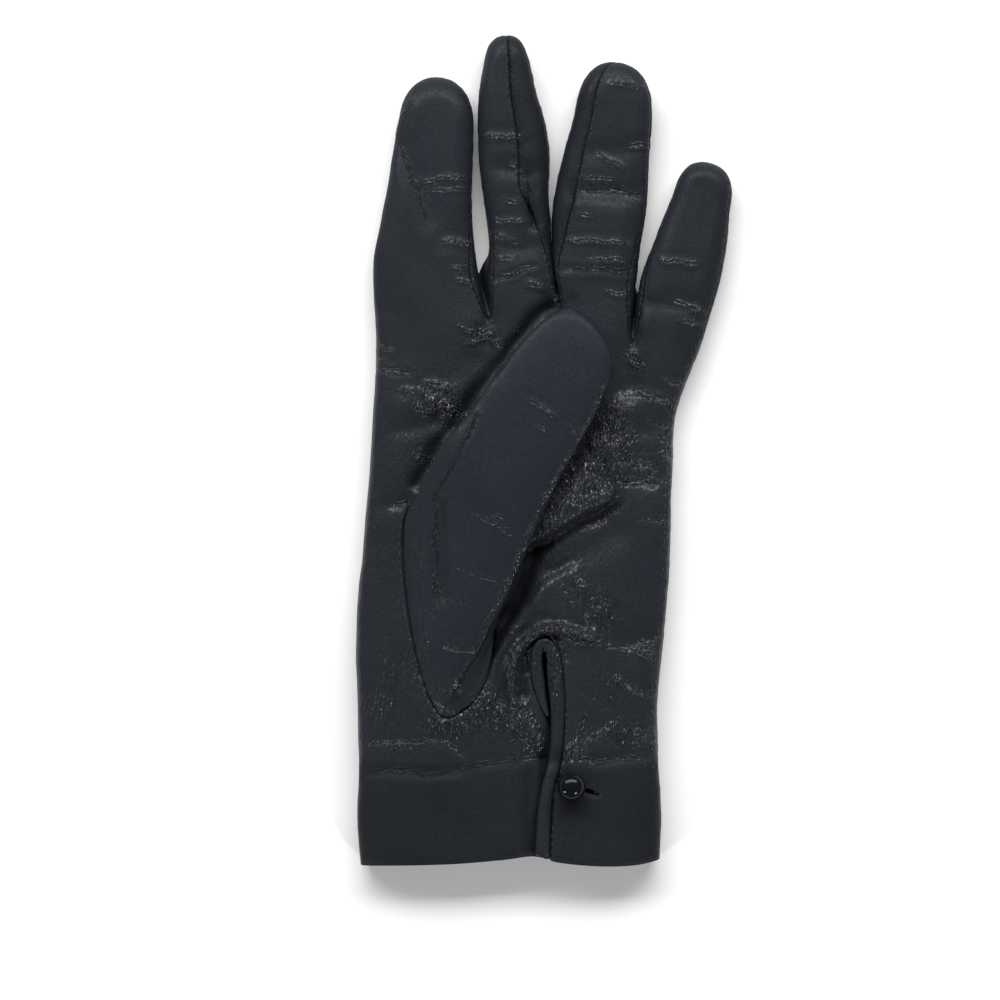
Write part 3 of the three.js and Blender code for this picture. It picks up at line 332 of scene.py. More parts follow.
def finger_point(finger, along, angle):
    """Points of a finger's skin, at an angle about its axis from the right side over the top."""
    length, width, base_x, base_y, lean, twist, sections = FINGERS[finger]
    lean = math.radians(lean)
    tip = np.clip((along - TIP_START) / (1 - TIP_START), 0, 1)
    blunt = TIP_BLUNT[finger]
    narrow = np.maximum(0, 1 - tip**blunt) ** (1 / blunt)
    height = FINGER_HEIGHT * narrow**TIP_THINNING
    turned = np.radians(angle + twist * np.clip((along - TWIST_START) / TWIST_SPAN, 0, 1))
    half = read(sections, 2, along) * width * narrow
    out = signed_power(np.cos(turned), FINGER_ROUNDNESS) * half + read(sections, 1, along) * width
    crown = height * (0.5 + FINGER_CROWN * signed_power(np.sin(turned), FINGER_ROUNDNESS))
    up = crown + TIP_LIFT * (FINGER_HEIGHT - height)
    x = base_x * HAND_WIDTH + math.sin(lean) * along * length + math.cos(lean) * out
    y = base_y * PALM_LENGTH + math.cos(lean) * along * length - math.sin(lean) * out
    fold = np.maximum(0, np.sin(turned)) * fold_rise(x, y)
    return np.column_stack([x, y, np.maximum(0, np.minimum(up, FINGER_HEIGHT) + fold)])


def sheet_grid(bm, columns, rows, piece_of=None):
    """A flat grid: its points, their shares along its two sides, and each face marked with its piece."""
    points = bmesh.ops.create_grid(bm, x_segments=columns, y_segments=rows, size=0.5)["verts"]
    shares = np.array([(v.co.x + 0.5, v.co.y + 0.5) for v in points])
    if piece_of:
        layer = bm.faces.layers.int["piece"]
        for face in {face for v in points for face in v.link_faces}:
            face[layer] = piece_of(int((face.calc_center_median().x + 0.5) * columns))
    return points, shares[:, 0], shares[:, 1]


def lay(points, places):
    for v, place in zip(points, places):
        v.co = place


PIECES = ["trank", "fourchette_index_middle", "fourchette_middle_ring", "fourchette_ring_little"]
FRONT_CELLS, BACK_CELLS, WEB_CELLS = [38, 25, 30, 28], [18, 12, 14, 13], 6
HAND_ROWS, TIP_ROWS, ROW_LENGTH, SAME_POINT, LOW_SKIN = 164, 14, 0.75, 0.004, 1.2
BLEND_SHARE = 0.4
# hollow notes where the leather's colour is darkened with painted shade: in hollows, dips and on steep side
# walls
LEATHER_NOTES = ("crinkle", "seam", "line", "press", "hollow")


def new_leather():
    """An empty mesh whose points can note crinkles, the way to the nearest seam and to the nearest crease."""
    bm = bmesh.new()
    bm.faces.layers.int.new("piece")
    for note in LEATHER_NOTES:
        bm.verts.layers.float.new(note)
    return bm


skin = new_leather()
for strip in range(4):
    for face, cells in (("palm", FRONT_CELLS[strip]), ("back", BACK_CELLS[strip])):
        points, part, up = sheet_grid(skin, cells, HAND_ROWS)
        lay(points, hand_point(face, strip, part, up))
        if face == "back":
            bmesh.ops.reverse_faces(skin, faces=list({f for v in points for f in v.link_faces}))

for number, (finger, values) in enumerate(FINGERS.items()):
    length, base_x, base_y, lean = values[0], values[2], values[3], values[4]
    first, last = number == 0, number == 3
    # columns round the finger from the index side: point at the crotch, angle, piece
    bases, angles, pieces = [], [], []

    def add_columns(base, angle, piece):
        bases.extend(base)
        angles.extend(angle)
        pieces.extend([piece] * len(base))

    front = np.linspace(0, 1, FRONT_CELLS[number] + 1)
    back = np.linspace(1, 0, BACK_CELLS[number] + 1)
    web = np.linspace(0, 1, WEB_CELLS + 1)[:, None]
    palm_end, back_end = hand_point("palm", number, front, 1), hand_point("back", number, back, 1)
    from_angle, to_angle = (180 if first else 180 - SEAM_ANGLE), (0 if last else SEAM_ANGLE)
    add_columns(palm_end[:-1], np.linspace(from_angle, to_angle, len(front))[:-1], 0)
    if not last:
        side = palm_end[-1] * (1 - web) + back_end[0] * web
        add_columns(side[:-1], np.linspace(SEAM_ANGLE, -SEAM_ANGLE, len(web))[:-1], number + 1)
    from_angle, to_angle = (0 if last else -SEAM_ANGLE), (-180 if first else SEAM_ANGLE - 180)
    add_columns(back_end[:-1], np.linspace(from_angle, to_angle, len(back))[:-1], 0)
    if not first:
        side = back_end[-1] * (1 - web) + palm_end[0] * web
        add_columns(side[:-1], np.linspace(SEAM_ANGLE - 180, -180 - SEAM_ANGLE, len(web))[:-1], number)
    add_columns(palm_end[:1], [angles[0] - 360], 0)

    shaft, cap = round(length * TIP_START / ROW_LENGTH), TIP_ROWS
    points, turn, up = sheet_grid(skin, len(bases) - 1, shaft + cap, lambda column: pieces[column])
    column = np.rint(turn * (len(bases) - 1)).astype(int)
    base, angle = np.array(bases)[column], np.array(angles)[column]
    lean_way = np.array([math.sin(math.radians(lean)), math.cos(math.radians(lean))])
    start = (base[:, :2] - [base_x * HAND_WIDTH, base_y * PALM_LENGTH]) @ lean_way / length
    row = up * (shaft + cap)
    along = np.where(
        row <= shaft,
        start + (TIP_START - start) * row / shaft,
        TIP_START + (1 - TIP_START) * np.sin(np.pi / 2 * np.clip((row - shaft) / cap, 0, 1)),
    )
    share = (along - start) / (1 - start)
    fade = np.clip(1 - share / BLEND_SHARE, 0, 1)[:, None] ** 3
    pull = (base - finger_point(finger, start, angle)) * fade
    lay(points, finger_point(finger, along, angle) + pull)
bmesh.ops.remove_doubles(skin, verts=skin.verts, dist=SAME_POINT)

# The crotches of the fingers, the seams and the stitched side
piece_layer = skin.faces.layers.int["piece"]
seam_points = [v for v in skin.verts if len({f[piece_layer] for f in v.link_faces}) > 1]


def signed_away(x, y, line):
    """Distance to a line, below zero on its right, and how far inside the line's two ends it is met."""
    nearest, sign, inset = 0 * x + np.inf, 0 * x, 0 * x
    lengths = [math.dist(a, b) for a, b in zip(line, line[1:])]
    gone = 0
    for (x1, y1), (x2, y2), long in zip(line, line[1:], lengths):
        t = np.clip(((x - x1) * (x2 - x1) + (y - y1) * (y2 - y1)) / long**2, 0, 1)
        away = np.hypot(x - x1 - t * (x2 - x1), y - y1 - t * (y2 - y1))
        closer = away < nearest
        nearest = np.where(closer, away, nearest)
        sign = np.where(closer, np.where((x2 - x1) * (y - y1) > (y2 - y1) * (x - x1), 1, -1), sign)
        run = gone + t * long
        inset = np.where(closer, np.minimum(run, sum(lengths) - run), inset)
        gone += long
    return nearest * sign, inset


# Creases have low shoulders beside them, shelves a step and a dip, and wear stops at the hem and the fingers.
SWAY, FAR, UNEVEN, DENTS, GLITTER_DEPTH = 0.7, 9, 0.3, 0.1, 0.16
SEAM_DEPTH, SEAM_WIDTH, PUCKER, PUCKER_AT = 0.1, 0.5, 0.12, 0.9
CREASE_DEPTH, CREASE_SHOULDER, SHOULDER_AT, CREASE_END, LINE_REACH, LINE_FADE = 0.7, 0.42, 1.9, 1.6, 1.7, 0.8
# DEEP_MOULD: a mould this deep is fully painted with shade
DEEP_CREASE, DEEP_MOULD = 0.3, 2.2
STEP_BACK, STEP_WIDTH, DIP_AT, DIP_WIDTH, SHELF_END = 0.7, 1.6, 1.9, 1.7, 3
COMB_ACROSS, COMB_UP, COMB_DEPTH = 1.1, 7, 3.2
LEAST_WEAR, WEAR_END, WEAR_FADE, HEM_GLOSS = 0.3, 132, 16, 0.12
DULLER_FROM, DULLER_FADE, DULLER_SHARE = 105, 10, 0.3


def dig(
    bm, seams, side_seam=None, creases=(), moulds=(), shelves=(), ripples=(), patches=(),
    calm=1.0, worn=0.0, shade=0.0,
):
    """Presses folds, creases and seams into the leather, notes for its finish where the fine ones run, and
    notes painted shade in hollows, dips and side walls.
    """
    bm.normal_update()
    layers = bm.verts.layers.float
    tree = kdtree.KDTree(max(1, len(seams)))
    for i, place in enumerate(seams):
        tree.insert(place, i)
    tree.balance()
    points = list(bm.verts)
    co = np.array([v.co for v in points])
    up = np.array([v.normal.z for v in points])
    aside = Vector((9, 4, 2))
    x = co[:, 0] + SWAY * np.array([noise.noise(Vector(p) / 5) for p in co])
    y = co[:, 1] + SWAY * np.array([noise.noise(Vector(p) / 5 + aside) for p in co])
    rise, gloss, hollow = 0 * x, 0 * x, 0 * x
    line, press, closest = 0 * x + FAR, 0 * x, 0 * x + FAR
    for wide, high, shine, path in creases:
        away, inset = signed_away(x, y, path)
        part = np.abs(away) / wide
        rise += CREASE_DEPTH * high * (bell(part, 1) - CREASE_SHOULDER * bell(part - SHOULDER_AT, 1))
        gloss += shine * bell(away, 0.35 + 0.6 * wide)
        nearer = np.abs(away) < closest
        closest = np.where(nearer, np.abs(away), closest)
        line = np.where(nearer, away, line)
        ends = np.clip(inset / CREASE_END, 0, 1)
        press = np.where(nearer, min(1, abs(high) / DEEP_CREASE) * ends, press)
    press = press * np.clip((LINE_REACH - closest) / LINE_FADE, 0, 1)
    for wide, high, path in moulds:
        part = bell(away_from(x, y, path), wide)
        rise += high * part
        # painted shade in the hollows of the moulds
        hollow += max(0, -high / DEEP_MOULD) * part
    for high, dip, reach, path in shelves:
        away, inset = signed_away(x, y, path)
        ends = np.clip(inset / SHELF_END, 0, 1)
        step = np.clip((away + STEP_BACK) / STEP_WIDTH, 0, 1)
        step = step * step * (3 - 2 * step)
        rise += ends * high * step * bell(np.maximum(0, away), reach)
        dipped = ends * dip * bell(away + DIP_AT, DIP_WIDTH) * (away < 3)
        rise -= dipped
        # painted shade in the dip beside each shelf
        hollow += dipped / 2
    for px, py, wide, tall, shine in patches:
        gloss += shine * bell(x - px, wide) * bell(y - py, tall)
    comb = np.array([abs(noise.noise(Vector((p[0] / COMB_ACROSS, p[1] / COMB_UP, 3)))) for p in co])
    for px, py, wide, tall, deep in ripples:
        rise += deep * (1 - COMB_DEPTH * comb) * bell(x - px, wide) * bell(y - py, tall)
    band = np.clip((y - HEM_DEPTH - 0.5) / 2, 0, 1) * np.clip((WEAR_END - y) / WEAR_FADE, 0, 1)
    gloss += worn * (LEAST_WEAR + (1 - LEAST_WEAR) * band)
    gloss = np.where((y < HEM_DEPTH) & (worn > 0), HEM_GLOSS * gloss, gloss)
    gloss = gloss * (1 - DULLER_SHARE * np.clip((y - DULLER_FROM) / DULLER_FADE, 0, 1))
    front = np.clip(0.35 + 1.2 * up, 0, 1)
    # painted shade on the front in hollows, and on steep side walls by the shade argument
    hollow = np.clip(hollow * front + shade * np.clip(0.7 - 1.5 * np.abs(up), 0, 1), 0, 1)
    gloss = np.clip(gloss, 0, 1) * np.clip(0.25 + 1.5 * up, 0.25, 1)
    for i, v in enumerate(points):
        place = Vector(co[i])
        away = tree.find(place)[2] if seams else FAR
        if side_seam is not None:
            away = min(away, side_seam[i])
        pucker = noise.noise(Vector((place.x / 9, place.y / 1.1, place.z / 9)))
        glitter = 0.5 - abs(noise.noise(Vector((place.x / 1.5, place.y / 2.6, 0))))
        lift = rise[i] * front[i] + gloss[i] * GLITTER_DEPTH * glitter
        lift += calm * (UNEVEN * noise.noise(place / 13) + DENTS * noise.noise(place / 5))
        lift += PUCKER * pucker * bell(away - PUCKER_AT, 0.9) - SEAM_DEPTH * bell(away, SEAM_WIDTH)
        notes = (gloss[i], min(FAR, away), line[i], press[i] * front[i], hollow[i])
        for key, value in zip(LEATHER_NOTES, notes):
            v[layers[key]] = value
        v.co = place + v.normal * lift
        v.co.z = max(0.02, v.co.z)


side_start = np.linspace(0, 0.93, 30)
little_twist = FINGERS["little"][5]
turned_back = little_twist * np.clip((side_start - TWIST_START) / TWIST_SPAN, 0, 1)
little_side = finger_point("little", side_start, little_twist - turned_back)
SEAM_INSET, PALM_SEAM_TOP, FINGER_SEAM_FOOT = 1.5, 110, 126
side_line = [(float(side_at(y, 2)) - SEAM_INSET, float(y)) for y in np.linspace(2, PALM_SEAM_TOP, 40)]
side_line += [(float(p[0]), float(p[1])) for p in little_side if p[1] > FINGER_SEAM_FOOT]
skin.normal_update()
skin_co = np.array([v.co for v in skin.verts])
skin_up = np.array([v.normal.z for v in skin.verts])
side_away = np.where(skin_up > -0.2, away_from(skin_co[:, 0], skin_co[:, 1], side_line), FAR)
seam_places = [v.co.copy() for v in seam_points]
# the hand's hollows and steep side walls get painted shade
dig(skin, seam_places, side_away, CREASES, MOULDS, SHELVES, RIPPLES, PATCHES, worn=0.3, shade=0.5)


def inside(outline, x, y):
    hit = False
    for (x1, y1), (x2, y2) in zip(outline, outline[1:] + outline[:1]):
        if (y1 > y) != (y2 > y) and x < x1 + (y - y1) * (x2 - x1) / (y2 - y1):
            hit = not hit
    return hit


SNAP_REACH, SINK_REACH, CUT_ABOVE = 0.39, 0.7, 4.5


def cut_out(bm, outline, sink):
    """Opens the upper leather inside an outline in plan: points near it move onto it, faces inside go."""
    loop = outline + outline[:1]
    near = []
    low = Vector((min(p[0] for p in outline) - 2, min(p[1] for p in outline) - 2))
    high = Vector((max(p[0] for p in outline) + 2, max(p[1] for p in outline) + 2))
    upper = [v for v in bm.verts if v.co.z > CUT_ABOVE]
    crowd = [v for v in upper if low.x < v.co.x < high.x and low.y < v.co.y < high.y]
    for v in crowd:
        best = None
        for (x1, y1), (x2, y2) in zip(loop, loop[1:]):
            run = (x2 - x1) ** 2 + (y2 - y1) ** 2
            t = min(1, max(0, ((v.co.x - x1) * (x2 - x1) + (v.co.y - y1) * (y2 - y1)) / run))
            foot = Vector((x1 + t * (x2 - x1), y1 + t * (y2 - y1)))
            away = (foot - v.co.xy).length
            if best is None or away < best[0]:
                best = (away, foot)
        if best[0] < SNAP_REACH:
            v.co.xy = best[1]
            near.append(v)
        v.co.z -= sink * bell(best[0], SINK_REACH)
    bmesh.ops.connect_verts(bm, verts=near)
    faces = {f for v in crowd for f in v.link_faces}
    gone = []
    for f in faces:
        middle = f.calc_center_median()
        if inside(outline, middle.x, middle.y):
            gone.append(f)
    bmesh.ops.delete(bm, geom=gone, context="FACES")
    near = [v for v in near if v.is_valid]
    bmesh.ops.remove_doubles(bm, verts=near, dist=0.12)


# Vent, from the slit's closed end down to the hem, and the plan of the binding: x, y, half width
VENT_LENGTH, BINDING_WIDTH, BINDING_RISE = 50.0, 3.4, 0.9
BINDING = [
    (0.174, 0.7, 0.14), (0.149, 0.775, 0.3), (0.131, 0.86, 0.44), (0.121, 0.95, 0.44), (0.134, 1.02, 0.38),
    (0.17, 1.035, 0.38), (0.2, 0.98, 0.5), (0.211, 0.88, 0.56), (0.221, 0.75, 0.52), (0.219, 0.6, 0.47),
    (0.206, 0.48, 0.46), (0.17, 0.34, 0.44), (0.156, 0.2, 0.5), (0.15, 0.045, 0.54),
]
VENT_EDGE = [
    (0.172, 0.68), (0.206, 0.62), (0.212, 0.5), (0.184, 0.38), (0.165, 0.2), (0.158, 0.06), (0.156, -0.08),
]


def binding_point(along, across):
    """Place in plan on the binding: along from the slit's closed edge to the hem, across from -1 to 1."""
    scale = np.array([VENT_LENGTH, VENT_LENGTH, BINDING_WIDTH])
    rows = [(i, *(scale * row)) for i, row in enumerate(BINDING)]
    at = along * (len(rows) - 1)
    x, y, half = (read(rows, column, at) for column in (1, 2, 3))
    run_x = read(rows, 1, at + 0.05) - read(rows, 1, at - 0.05)
    run_y = read(rows, 2, at + 0.05) - read(rows, 2, at - 0.05)
    span = np.hypot(run_x, run_y)
    return x - run_y / span * half * across, y + run_x / span * half * across


outer_x, outer_y = binding_point(np.linspace(0, 1, 60), np.full(60, 1.0))
vent_plan = [(float(a), float(b)) for a, b in zip(outer_x, outer_y)]
vent_plan += [(vent_plan[-1][0], -4.0)]
vent_plan += [(x * VENT_LENGTH, y * VENT_LENGTH) for x, y in reversed(VENT_EDGE)]
cut_out(skin, vent_plan, 0.15)

# Buttonhole, a narrow slot with round ends through the cuff
HOLE_LENGTH, HOLE_WIDTH, HOLE_SHIFT, HOLE_TURN = 12.4, 1.0, 0.08, math.radians(-17)
hole_plan = []
half_round = [(-1, 0), (-0.86, -0.9), (-0.4, -1), (0.4, -1), (0.86, -0.9)]
for along, out in half_round + [(-along, -out) for along, out in half_round]:
    spot = Vector(((along / 2 + HOLE_SHIFT) * HOLE_LENGTH, out * HOLE_WIDTH / 2, 0))
    spot.rotate(Matrix.Rotation(HOLE_TURN, 3, "Z"))
    hole_plan.append((BUTTON_X + spot.x, BUTTON_Y + spot.y))
cut_out(skin, hole_plan, 0.3)

# The thumb's sections from its hole to its tip: row, x, y, half width, turn, swing over, swing under, rise
THUMB_LENGTH, THUMB_WIDTH, THUMB_HEIGHT = 99.5, 26.0, 7.4
THUMB_ROUNDNESS, THUMB_EDGE, THUMB_CROWN, THUMB_TUCK = 0.9, 0.36, 0.5, 0.2
THUMB_TOP_ROLL, THUMB_LOW_ROLL, UNFOLDED_ROW, TUCK_ROWS = 0.36, 0.5, 4, 0.3
THUMB_BASE_X, THUMB_BASE_Y = -0.205 * HAND_WIDTH, 0.27 * PALM_LENGTH
THUMB = [
    (0, -0.038, 0.254, 0.98, -81.6, 0.2, 0.55, 0), (1, -0.017, 0.309, 0.907, -80.2, 0.06, 0.44, 0.4),
    (2, 0.019, 0.377, 0.869, -76.9, 0, 0.33, 0.68), (3, 0.06, 0.45, 0.783, -70.9, 0, 0.16, 0.86),
    (4, 0.098, 0.518, 0.679, -65, 0, 0.06, 1), (5, 0.135, 0.589, 0.565, -54.6, 0, 0, 1),
    (6, 0.168, 0.651, 0.508, -44.5, 0, 0, 1), (7, 0.2, 0.706, 0.483, -35.5, 0, 0, 1),
    (8, 0.233, 0.756, 0.465, -26.5, 0, 0, 1), (9, 0.26, 0.806, 0.454, -19.6, 0, 0, 1),
    (10, 0.282, 0.857, 0.408, -15, 0, 0, 0.98), (11, 0.29, 0.896, 0.32, -12.9, 0, 0, 0.94),
    (12, 0.289, 0.936, 0.172, -8.4, 0, 0, 0.84), (13, 0.289, 0.957, 0, -8, 0, 0, 0.62),
]


def thumb_point(at, angle):
    """Points of the thumb's skin: at a row of the table, and round it over the top from the index side."""
    squares = [(row[0], row[3] ** 2) for row in THUMB]
    half = np.sqrt(np.maximum(0, read(squares, 1, at))) * THUMB_WIDTH
    turn = np.radians(read(THUMB, 4, at))
    over = angle <= np.pi
    sweep = np.where(over, angle, 2 * np.pi - angle)
    sine = np.abs(np.sin(sweep))
    swing = np.where(over, -np.maximum(0, read(THUMB, 5, at)), np.maximum(0, read(THUMB, 6, at)))
    swing = swing * THUMB_WIDTH * sine
    inward = -half * signed_power(np.cos(sweep), THUMB_ROUNDNESS)
    x = THUMB_BASE_X + read(THUMB, 1, at) * THUMB_LENGTH + np.cos(turn) * inward - np.sin(turn) * swing
    y = THUMB_BASE_Y + read(THUMB, 2, at) * THUMB_LENGTH + np.sin(turn) * inward + np.cos(turn) * swing
    upper = THUMB_EDGE + THUMB_CROWN * sine**THUMB_TOP_ROLL
    lower = THUMB_EDGE * (1 - sine**THUMB_LOW_ROLL)
    height = np.where(over, upper, lower)
    lift = -THUMB_TUCK + (LAY_GAP + THUMB_TUCK) * np.clip(at / TUCK_ROWS, 0, 1)
    rise = np.clip(read(THUMB, 7, at), 0, 1)
    folded = np.clip(1 - at / UNFOLDED_ROW, 0, 1)
    return np.column_stack([x, y, palm_height(x, y, folded) + lift + rise * THUMB_HEIGHT * height])


hole_ring = thumb_point(np.zeros(90), np.linspace(0, 2 * np.pi, 91)[:-1])
thumb_plan = [(float(p[0]), float(p[1])) for p in hole_ring]
cut_out(skin, thumb_plan, 0.12)

# The hem is turned over and glued, so its edge is round and its wall double
HEM_ROUND, HEM_INSET, HEM_REGION = 0.55, 1.6, 6.0
for v in skin.verts:
    inset = v.co.y - float(read(HEM, 1, (v.co.x / HAND_WIDTH) + 0.5)) * PALM_LENGTH
    if inset < HEM_INSET and v.co.y < HEM_REGION:
        v.co.z += math.copysign(HEM_ROUND * (1 - max(0, inset) / HEM_INSET) ** 2, -v.normal.z)


def group(name, takes, gives):
    """A shader node group with named inputs and outputs."""
    tree = bpy.data.node_groups.new(name, "ShaderNodeTree")
    for side, sockets in (("INPUT", takes), ("OUTPUT", gives)):
        for socket, kind in sockets.items():
            tree.interface.new_socket(socket, in_out=side, socket_type="NodeSocket" + kind)
    return tree, tree.nodes.new("NodeGroupInput").outputs, tree.nodes.new("NodeGroupOutput").inputs


def node(tree, kind, inputs=None, **settings):
    made = tree.nodes.new("ShaderNode" + kind)
    for key, value in settings.items():
        setattr(made, key, value)
    for socket, value in (inputs or {}).items():
        if isinstance(value, bpy.types.NodeSocket):
            tree.links.new(value, made.inputs[socket])
        else:
            made.inputs[socket].default_value = value
    return made


def maths(tree, operation, *values):
    return node(tree, "Math", dict(enumerate(values)), operation=operation).outputs[0]


def spread(tree, value, low, high, to_low, to_high):
    inputs = {"Value": value, "From Min": low, "From Max": high, "To Min": to_low, "To Max": to_high}
    return node(tree, "MapRange", inputs, interpolation_type="SMOOTHSTEP").outputs["Result"]


def cloudy(tree, place, scale, detail, **more):
    return node(tree, "TexNoise", {"Vector": place, "Scale": scale, "Detail": detail, **more}).outputs[0]


def stretched(tree, vector, factors):
    return node(tree, "VectorMath", {0: vector, 1: factors}, operation="MULTIPLY").outputs[0]


DRAWN_OUT = (1.0, 0.6, 1.0)


def drifting(tree, place, scale):
    """A place drawn out along the hand, and the same place shifted a little by a noise."""
    drawn = stretched(tree, place, DRAWN_OUT)
    drift = node(tree, "TexNoise", {"Vector": drawn, "Scale": scale, "Detail": 2.0}).outputs["Color"]
    return drawn, node(tree, "VectorMath", {0: drawn, 1: drift}, operation="ADD").outputs[0]


def in_millimetres(tree):
    place = node(tree, "TexCoord").outputs["Object"]
    return node(tree, "VectorMath", {0: place, "Scale": 1000.0}, operation="SCALE").outputs[0]


def bumped(tree, height, depth, strength=1.0, normal=None):
    """A normal pressed by a height, at a depth in millimetres."""
    relief = {"Height": height, "Strength": strength, "Distance": depth / 1000}
    if normal:
        relief["Normal"] = normal
    return node(tree, "Bump", relief).outputs[0]


def new_material(name):
    """A material with its node tree and its surface shader."""
    made = bpy.data.materials.new(name)
    made.use_nodes = True
    return made, made.node_tree, made.node_tree.nodes["Principled BSDF"]


# Fine grain of kid: rounded pebbles between hair pores, drawn out along the hand.
kid_grain, takes, gives = group(
    "kid_grain", {"Place": "Vector", "Cells per mm": "Float"}, {"Height": "Float"}
)
drawn, shifted = drifting(kid_grain, takes["Place"], 0.9)
cells = {"Vector": shifted, "Scale": takes["Cells per mm"], "Smoothness": 0.35}
pebble = node(kid_grain, "TexVoronoi", cells, feature="SMOOTH_F1")
pores = cloudy(kid_grain, drawn, 5.5, 3.0, Roughness=0.6)
pebbles = maths(kid_grain, "MULTIPLY", pebble.outputs["Distance"], -1.0)
kid_grain.links.new(maths(kid_grain, "MULTIPLY_ADD", pores, 0.55, pebbles), gives["Height"])

# Crinkles where the leather was bent sharply: beads between fine broken wrinkles, which glint.
crinkled, takes, gives = group(
    "crinkled", {"Place": "Vector", "Amount": "Float"}, {"Height": "Float", "Shine": "Float"}
)
drawn, shifted = drifting(crinkled, takes["Place"], 0.5)
cells = {"Vector": shifted, "Scale": 1.5, "Smoothness": 0.25}
bead = node(crinkled, "TexVoronoi", cells, feature="SMOOTH_F1")
upright = stretched(crinkled, shifted, (1.0, 0.22, 1.0))
ripple = cloudy(crinkled, upright, 1.1, 3.0, Roughness=0.6, Distortion=0.6)
ridge = maths(crinkled, "ABSOLUTE", maths(crinkled, "MULTIPLY_ADD", ripple, 2.0, -1.0))
ridge = maths(crinkled, "MULTIPLY", spread(crinkled, ridge, 0.0, 0.3, 0.0, 1.2), takes["Amount"])
relief = maths(crinkled, "MULTIPLY_ADD", bead.outputs["Distance"], -1.0, ridge)
crinkled.links.new(maths(crinkled, "MULTIPLY", relief, takes["Amount"]), gives["Height"])
sparks = spread(crinkled, cloudy(crinkled, takes["Place"], 1.3, 3.0), 0.38, 0.6, 0.1, 1.0)
crinkled.links.new(maths(crinkled, "MULTIPLY", sparks, takes["Amount"]), gives["Shine"])

# Sharp creases and sewn edges, drawn by the way to the nearest one, broken up along their run.
lined, takes, gives = group(
    "lined", {"Place": "Vector", "Line": "Float", "Press": "Float", "Seam": "Float"},
    {"Height": "Float", "Dark": "Float", "Lip": "Float"},
)
broken = spread(lined, cloudy(lined, takes["Place"], 0.8, 2.0), 0.35, 0.6, 0.25, 1.0)
wander = spread(lined, cloudy(lined, takes["Place"], 0.5, 2.0), 0.3, 0.7, -0.25, 0.25)
off = maths(lined, "ABSOLUTE", maths(lined, "ADD", takes["Line"], wander))
cut = maths(lined, "MULTIPLY", spread(lined, off, 0.0, 0.32, 1.0, 0.0), takes["Press"])
lip = maths(lined, "MULTIPLY", spread(lined, off, 0.2, 0.4, 0.0, 1.0), spread(lined, off, 0.4, 0.8, 1.0, 0.0))
lip = maths(lined, "MULTIPLY", maths(lined, "MULTIPLY", lip, takes["Press"]), broken)
sewn = maths(lined, "MULTIPLY", spread(lined, takes["Seam"], 0.0, 0.26, 0.8, 0.0), broken)
tuck = spread(lined, cloudy(lined, takes["Place"], 1.0, 1.0), 0.4, 0.62, 0.0, 1.0)
tuck = maths(lined, "MULTIPLY", tuck, spread(lined, takes["Seam"], 0.3, 1.3, 0.5, 0.0))
low = maths(lined, "MULTIPLY_ADD", cut, broken, sewn)
high = maths(lined, "MULTIPLY_ADD", lip, 0.7, tuck)
lined.links.new(maths(lined, "SUBTRACT", high, low), gives["Height"])
# Dark is painted shade along the creases, together with the dark line of the seams.
lined.links.new(maths(lined, "MAXIMUM", maths(lined, "MULTIPLY", cut, 0.5), sewn), gives["Dark"])
lined.links.new(lip, gives["Lip"])

# Colour of the leather: cloudy over the hand, a little worn on the pebbles, dark along seams, and painted
# shade in creases and in the noted hollows and side walls.
dye_and_painted_shade, takes, gives = group(
    "dye_and_painted_shade", {"Place": "Vector", "Colour": "Color", "Dark": "Float", "Hollow": "Float"}, {"Colour": "Color"}
)
cloud = spread(dye_and_painted_shade, cloudy(dye_and_painted_shade, takes["Place"], 0.04, 3.0), 0.3, 0.7, 0.88, 1.12)
speck = spread(dye_and_painted_shade, cloudy(dye_and_painted_shade, takes["Place"], 1.8, 4.0, Roughness=0.7), 0.3, 0.7, 0.7, 1.3)
tone = maths(dye_and_painted_shade, "MULTIPLY", cloud, speck)
tone = maths(dye_and_painted_shade, "MULTIPLY", tone, spread(dye_and_painted_shade, takes["Dark"], 0.0, 1.0, 1.0, 0.45))
tone = maths(dye_and_painted_shade, "MULTIPLY", tone, spread(dye_and_painted_shade, takes["Hollow"], 0.0, 1.0, 1.0, 0.34))
coloured = node(dye_and_painted_shade, "VectorMath", {0: takes["Colour"], "Scale": tone}, operation="SCALE")
dye_and_painted_shade.links.new(coloured.outputs[0], gives["Colour"])


LINE_DEPTH, HEM_BLUR, HEM_SHADE = 0.22, 0.6, 0.72


